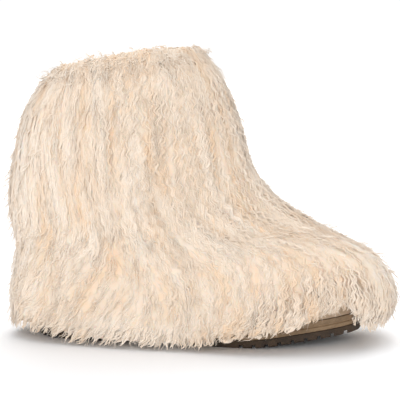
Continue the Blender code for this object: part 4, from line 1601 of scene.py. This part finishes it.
@dataclass
class Studio:
    """Camera, floor and lights."""

    yaw: float = 7.5
    pitch: float = 6.6
    distance: float = 1200.0
    target: tuple[float, float, float] = (95.75, 0.0, 109.9)
    focal_pixels: float = 1494.0
    frame_pixels: float = 400.0
    sensor: float = 36.0
    farthest: float = 50.0
    floor_half: tuple[float, float] = (1.6, 6.0)
    floor_colour: Colour = (0.97, 0.98, 1.0)
    floor_roughness: float = 0.9
    world_strength: float = 0.87
    backdrop: float = 1.05
    side_flags: float = 0.5
    flag_range: tuple[float, float] = (0.25, 0.95)
    overhead: float = 0.3
    overhead_range: tuple[float, float] = (0.45, 0.95)
    exposure: float = 0.0
    lamps: tuple[Lamp, ...] = (
        Lamp("key", place=(-0.1, -3.4, 0.9), size=2.2, power=55.0, colour=(1.0, 0.99, 0.975)),
        Lamp("top light", place=(0.0, 1.2, 3.4), size=3.0, power=22.0),
        Lamp("floor light", place=(0.8, 4.6, 2.6), size=5.0, power=170.0, down=True),
    )

    def build(self) -> None:
        """Makes everything round the boot."""
        self.camera()
        self.floor()
        for lamp in self.lamps:
            self.hang(lamp)
        self.world()
        bpy.context.scene.view_settings.view_transform = "Standard"
        bpy.context.scene.view_settings.exposure = self.exposure

    def world(self) -> None:
        """White all round for the camera, with less light from both sides and more from overhead."""
        world = bpy.data.worlds.new("studio")
        world.use_nodes = True
        tree = ShaderTree(world.node_tree)
        seen = tree.node("ShaderNodeLightPath").outputs["Is Camera Ray"]
        way = tree.split(tree.node("ShaderNodeTexCoord").outputs["Generated"])
        to_side = tree.ramp(tree.math("ABSOLUTE", way["X"]), *self.flag_range)
        upward = tree.ramp(way["Z"], *self.overhead_range)
        light = tree.math("MULTIPLY_ADD", to_side, -self.side_flags, self.world_strength)
        light = tree.math("MULTIPLY_ADD", upward, self.overhead, light)
        strength = tree.math("MAXIMUM", light, tree.math("MULTIPLY", seen, self.backdrop))
        tree.fill(world.node_tree.nodes["Background"], {0: (1.0, 1.0, 1.0), 1: strength})
        bpy.context.scene.world = world

    def camera(self) -> None:
        """The camera at the photograph's angle."""
        yaw, pitch = math.radians(self.yaw), math.radians(self.pitch)
        back = Vector((math.sin(yaw) * math.cos(pitch), -math.cos(yaw) * math.cos(pitch), math.sin(pitch)))
        data = bpy.data.cameras.new("camera")
        data.sensor_width = self.sensor
        data.lens = self.focal_pixels / self.frame_pixels * self.sensor
        data.clip_end = self.farthest
        made = linked("camera", data)
        made.location = Vector(self.target) * MM + back * self.distance * MM
        self.face(made, -back)
        bpy.context.scene.camera = made

    def face(self, made: bpy.types.Object, way: Vector) -> None:
        """Turns a camera or a lamp to look along a way."""
        made.rotation_mode = "QUATERNION"
        made.rotation_quaternion = way.to_track_quat("-Z", "Y")

    def floor(self) -> None:
        """A pale floor."""
        across, deep = self.floor_half
        corners = [(-across, -deep, 0), (across, -deep, 0), (across, deep, 0), (-across, deep, 0)]
        mesh = bpy.data.meshes.new("floor")
        mesh.from_pydata(corners, [], [(0, 1, 2, 3)])
        look, tree, shader = new_material("pale_floor")
        tree.fill(shader, {"Base Color": self.floor_colour, "Roughness": self.floor_roughness})
        mesh.materials.append(look)
        linked("floor", mesh)

    def hang(self, lamp: Lamp) -> None:
        """Hangs a lamp.

        Args:
            lamp: its place, size, power and colour.
        """
        data = bpy.data.lights.new(lamp.name, "AREA")
        data.size = lamp.size
        data.energy = lamp.power
        data.color = lamp.colour
        made = linked(lamp.name, data)
        made.location = lamp.place
        to_boot = Vector(self.target) * MM - Vector(lamp.place)
        self.face(made, Vector((0.0, 0.0, -1.0)) if lamp.down else to_boot)


def lock_plans() -> list[LockPlan]:
    """The pieces of hair: flat curls and fine strands over each part of the boot, then loose hair."""
    shaft = dict(rings=(6.2, 12.7), length=(46.0, 70.0))
    foot = dict(rings=(0.4, 6.8), length=(28.0, 46.0))
    collar = dict(rings=(12.5, 13.0), turns=(0.0, 1.0), root_sink=0.0)
    outer, inner, around = (0.0, 0.5), (0.5, 1.0), (0.0, 1.0)
    front, rear = (0.25, 0.75), (-0.25, 0.25)
    whole, edge = (0.0, 13.0), (-0.9, 1.4)
    curls, top = (-0.2, 0.7), (0.2, 1.2)
    curl = dict(strands=3, spread=2.6, crimp_height=1.3, crimp_length=10.0, frizz=0.6,
                width=2.4, flatness=0.34)
    fine = dict(strands=5, spread=3.2, crimp_height=1.0, crimp_length=10.0, frizz=0.9,
                width=0.6, fall=Fall.EVEN)
    low_curl = dict(strands=3, spread=2.8, crimp_height=0.9, crimp_length=8.0, frizz=0.9,
                    width=2.2, flatness=0.34)
    low_fine = dict(strands=5, spread=3.4, crimp_height=0.8, crimp_length=9.0, frizz=1.4,
                    width=0.6, fall=Fall.LOOSE)
    return [
        LockPlan("fleece_shaft_curls_outer", 300, turns=outer, height=curls, segments=22,
                 style=StrandStyle(seed=21, **curl), **shaft),
        LockPlan("fleece_shaft_curls_inner", 200, turns=inner, height=curls, segments=20,
                 style=StrandStyle(seed=22, **curl), **shaft),
        LockPlan("fleece_shaft_strands_outer", 60, turns=outer, height=top, segments=20,
                 style=StrandStyle(seed=31, **fine), **shaft),
        LockPlan("fleece_shaft_strands_inner", 45, turns=inner, height=top, segments=16,
                 style=StrandStyle(seed=32, **fine), **shaft),
        LockPlan("fleece_vamp_curls", 350, turns=front, height=curls, segments=16,
                 style=StrandStyle(seed=23, **low_curl), **foot),
        LockPlan("fleece_vamp_strands", 80, turns=front, height=top, segments=15,
                 style=StrandStyle(seed=33, **low_fine), **foot),
        LockPlan("fleece_heel_curls", 350, turns=rear, height=curls, segments=15, stray=9.0,
                 style=StrandStyle(seed=24, **low_curl), **foot),
        LockPlan("fleece_heel_strands", 80, turns=rear, height=top, segments=15, stray=14.0,
                 style=StrandStyle(seed=34, **low_fine), **foot),
        LockPlan("fleece_hem_curls", 280, rings=edge, turns=around, length=(20.0, 34.0), height=(-3.0, 0.5),
                 segments=11, style=StrandStyle(seed=25, **low_curl)),
        LockPlan("fleece_hem_strands", 110, rings=edge, turns=around, length=(22.0, 38.0), height=(-2.0, 1.5),
                 segments=11, style=StrandStyle(seed=35, **low_fine)),
        LockPlan("fleece_collar_curls", 170, length=(36.0, 60.0), height=(0.0, 1.0), segments=16,
                 style=StrandStyle(seed=26, **curl), **collar),
        LockPlan("fleece_collar_strands", 30, length=(34.0, 60.0), height=(0.3, 2.0), segments=16,
                 style=StrandStyle(seed=36, **fine), **collar),
        LockPlan("fleece_shaft_waves", 90, rings=(7.0, 12.2), turns=(0.2, 0.8), length=(44.0, 72.0),
                 height=(0.8, 1.8), segments=26,
                 style=StrandStyle(strands=3, spread=1.1, crimp_height=1.4, crimp_length=8.0, frizz=0.4,
                                   width=1.3, seed=42, flatness=0.5)),
        LockPlan("fleece_wisps", 340, rings=whole, turns=around, length=(12.0, 34.0), height=(0.4, 1.5),
                 segments=8, stray=30.0, flyaway=0.2,
                 style=StrandStyle(strands=2, spread=3.0, crimp_height=0.5, crimp_length=9.0, frizz=2.0,
                                   width=0.4, seed=41)),
        LockPlan("fleece_flyaways", 1000, rings=whole, turns=around, length=(8.0, 18.0), height=(0.4, 1.5),
                 segments=5, stray=24.0, flyaway=0.28,
                 style=StrandStyle(strands=2, spread=2.4, crimp_height=0.6, crimp_length=7.0, frizz=1.6,
                                   width=0.6, seed=44)),
        LockPlan("fleece_collar_wisps", 260, rings=(12.0, 13.0), turns=around, length=(12.0, 28.0),
                 height=(0.0, 1.0), segments=6, root_sink=0.0, stray=26.0, lift=15.0, flyaway=0.15,
                 style=StrandStyle(strands=3, spread=3.2, crimp_height=0.9, crimp_length=8.0, frizz=2.2,
                                   width=0.65, seed=43)),
        LockPlan("fleece_rim_tufts", 170, rings=(12.3, 12.9), turns=around, length=(10.0, 20.0),
                 height=(0.0, 1.2), segments=6, stray=35.0, lift=7.0,
                 style=StrandStyle(strands=3, spread=2.4, crimp_height=0.8, crimp_length=7.0, frizz=1.4,
                                   width=1.1, seed=45, flatness=0.5)),
        LockPlan("fleece_inner_rim", 130, rings=(12.6, 12.97), turns=around, length=(7.0, 12.0),
                 height=(-0.1, 0.1), segments=4, root_sink=0.0, stray=25.0, inside=0.9,
                 style=StrandStyle(strands=3, spread=2.2, crimp_height=0.6, crimp_length=7.0, frizz=1.0,
                                   width=1.8, seed=46, flatness=0.4)),
        LockPlan("fleece_toe_hem", 130, rings=(-1.0, 2.2), turns=(0.3, 0.7), length=(16.0, 30.0),
                 height=(-4.0, 1.0), segments=9, style=StrandStyle(seed=27, **low_curl)),
    ]


def triangles(piece: bpy.types.Object) -> int:
    """Number of triangles of a piece."""
    return sum(len(face.vertices) - 2 for face in piece.data.polygons)


def main() -> None:
    """Builds every piece, dresses the CAD nodes and sets up the studio."""
    build_grain_group()
    WoolPattern().build()
    form = BootForm()
    fleece = Fleece(form, StrandTree(), Comb(form))
    pieces = [fleece.build_coat(), *fleece.build_locks(lock_plans())]
    for piece in pieces:
        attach(piece, BODY)
        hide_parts("fleece")
        log.info("%s: %d triangles", piece.name, triangles(piece))
    lining = Lining(form).build()
    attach(lining, BODY)
    log.info("%s: %d triangles", lining.name, triangles(lining))
    log.info("in all: %d triangles", sum(triangles(piece) for piece in [*pieces, lining]))
    Sole().dress(frame["nodes"])
    Studio().build()


if __name__ == "__main__":
    main()
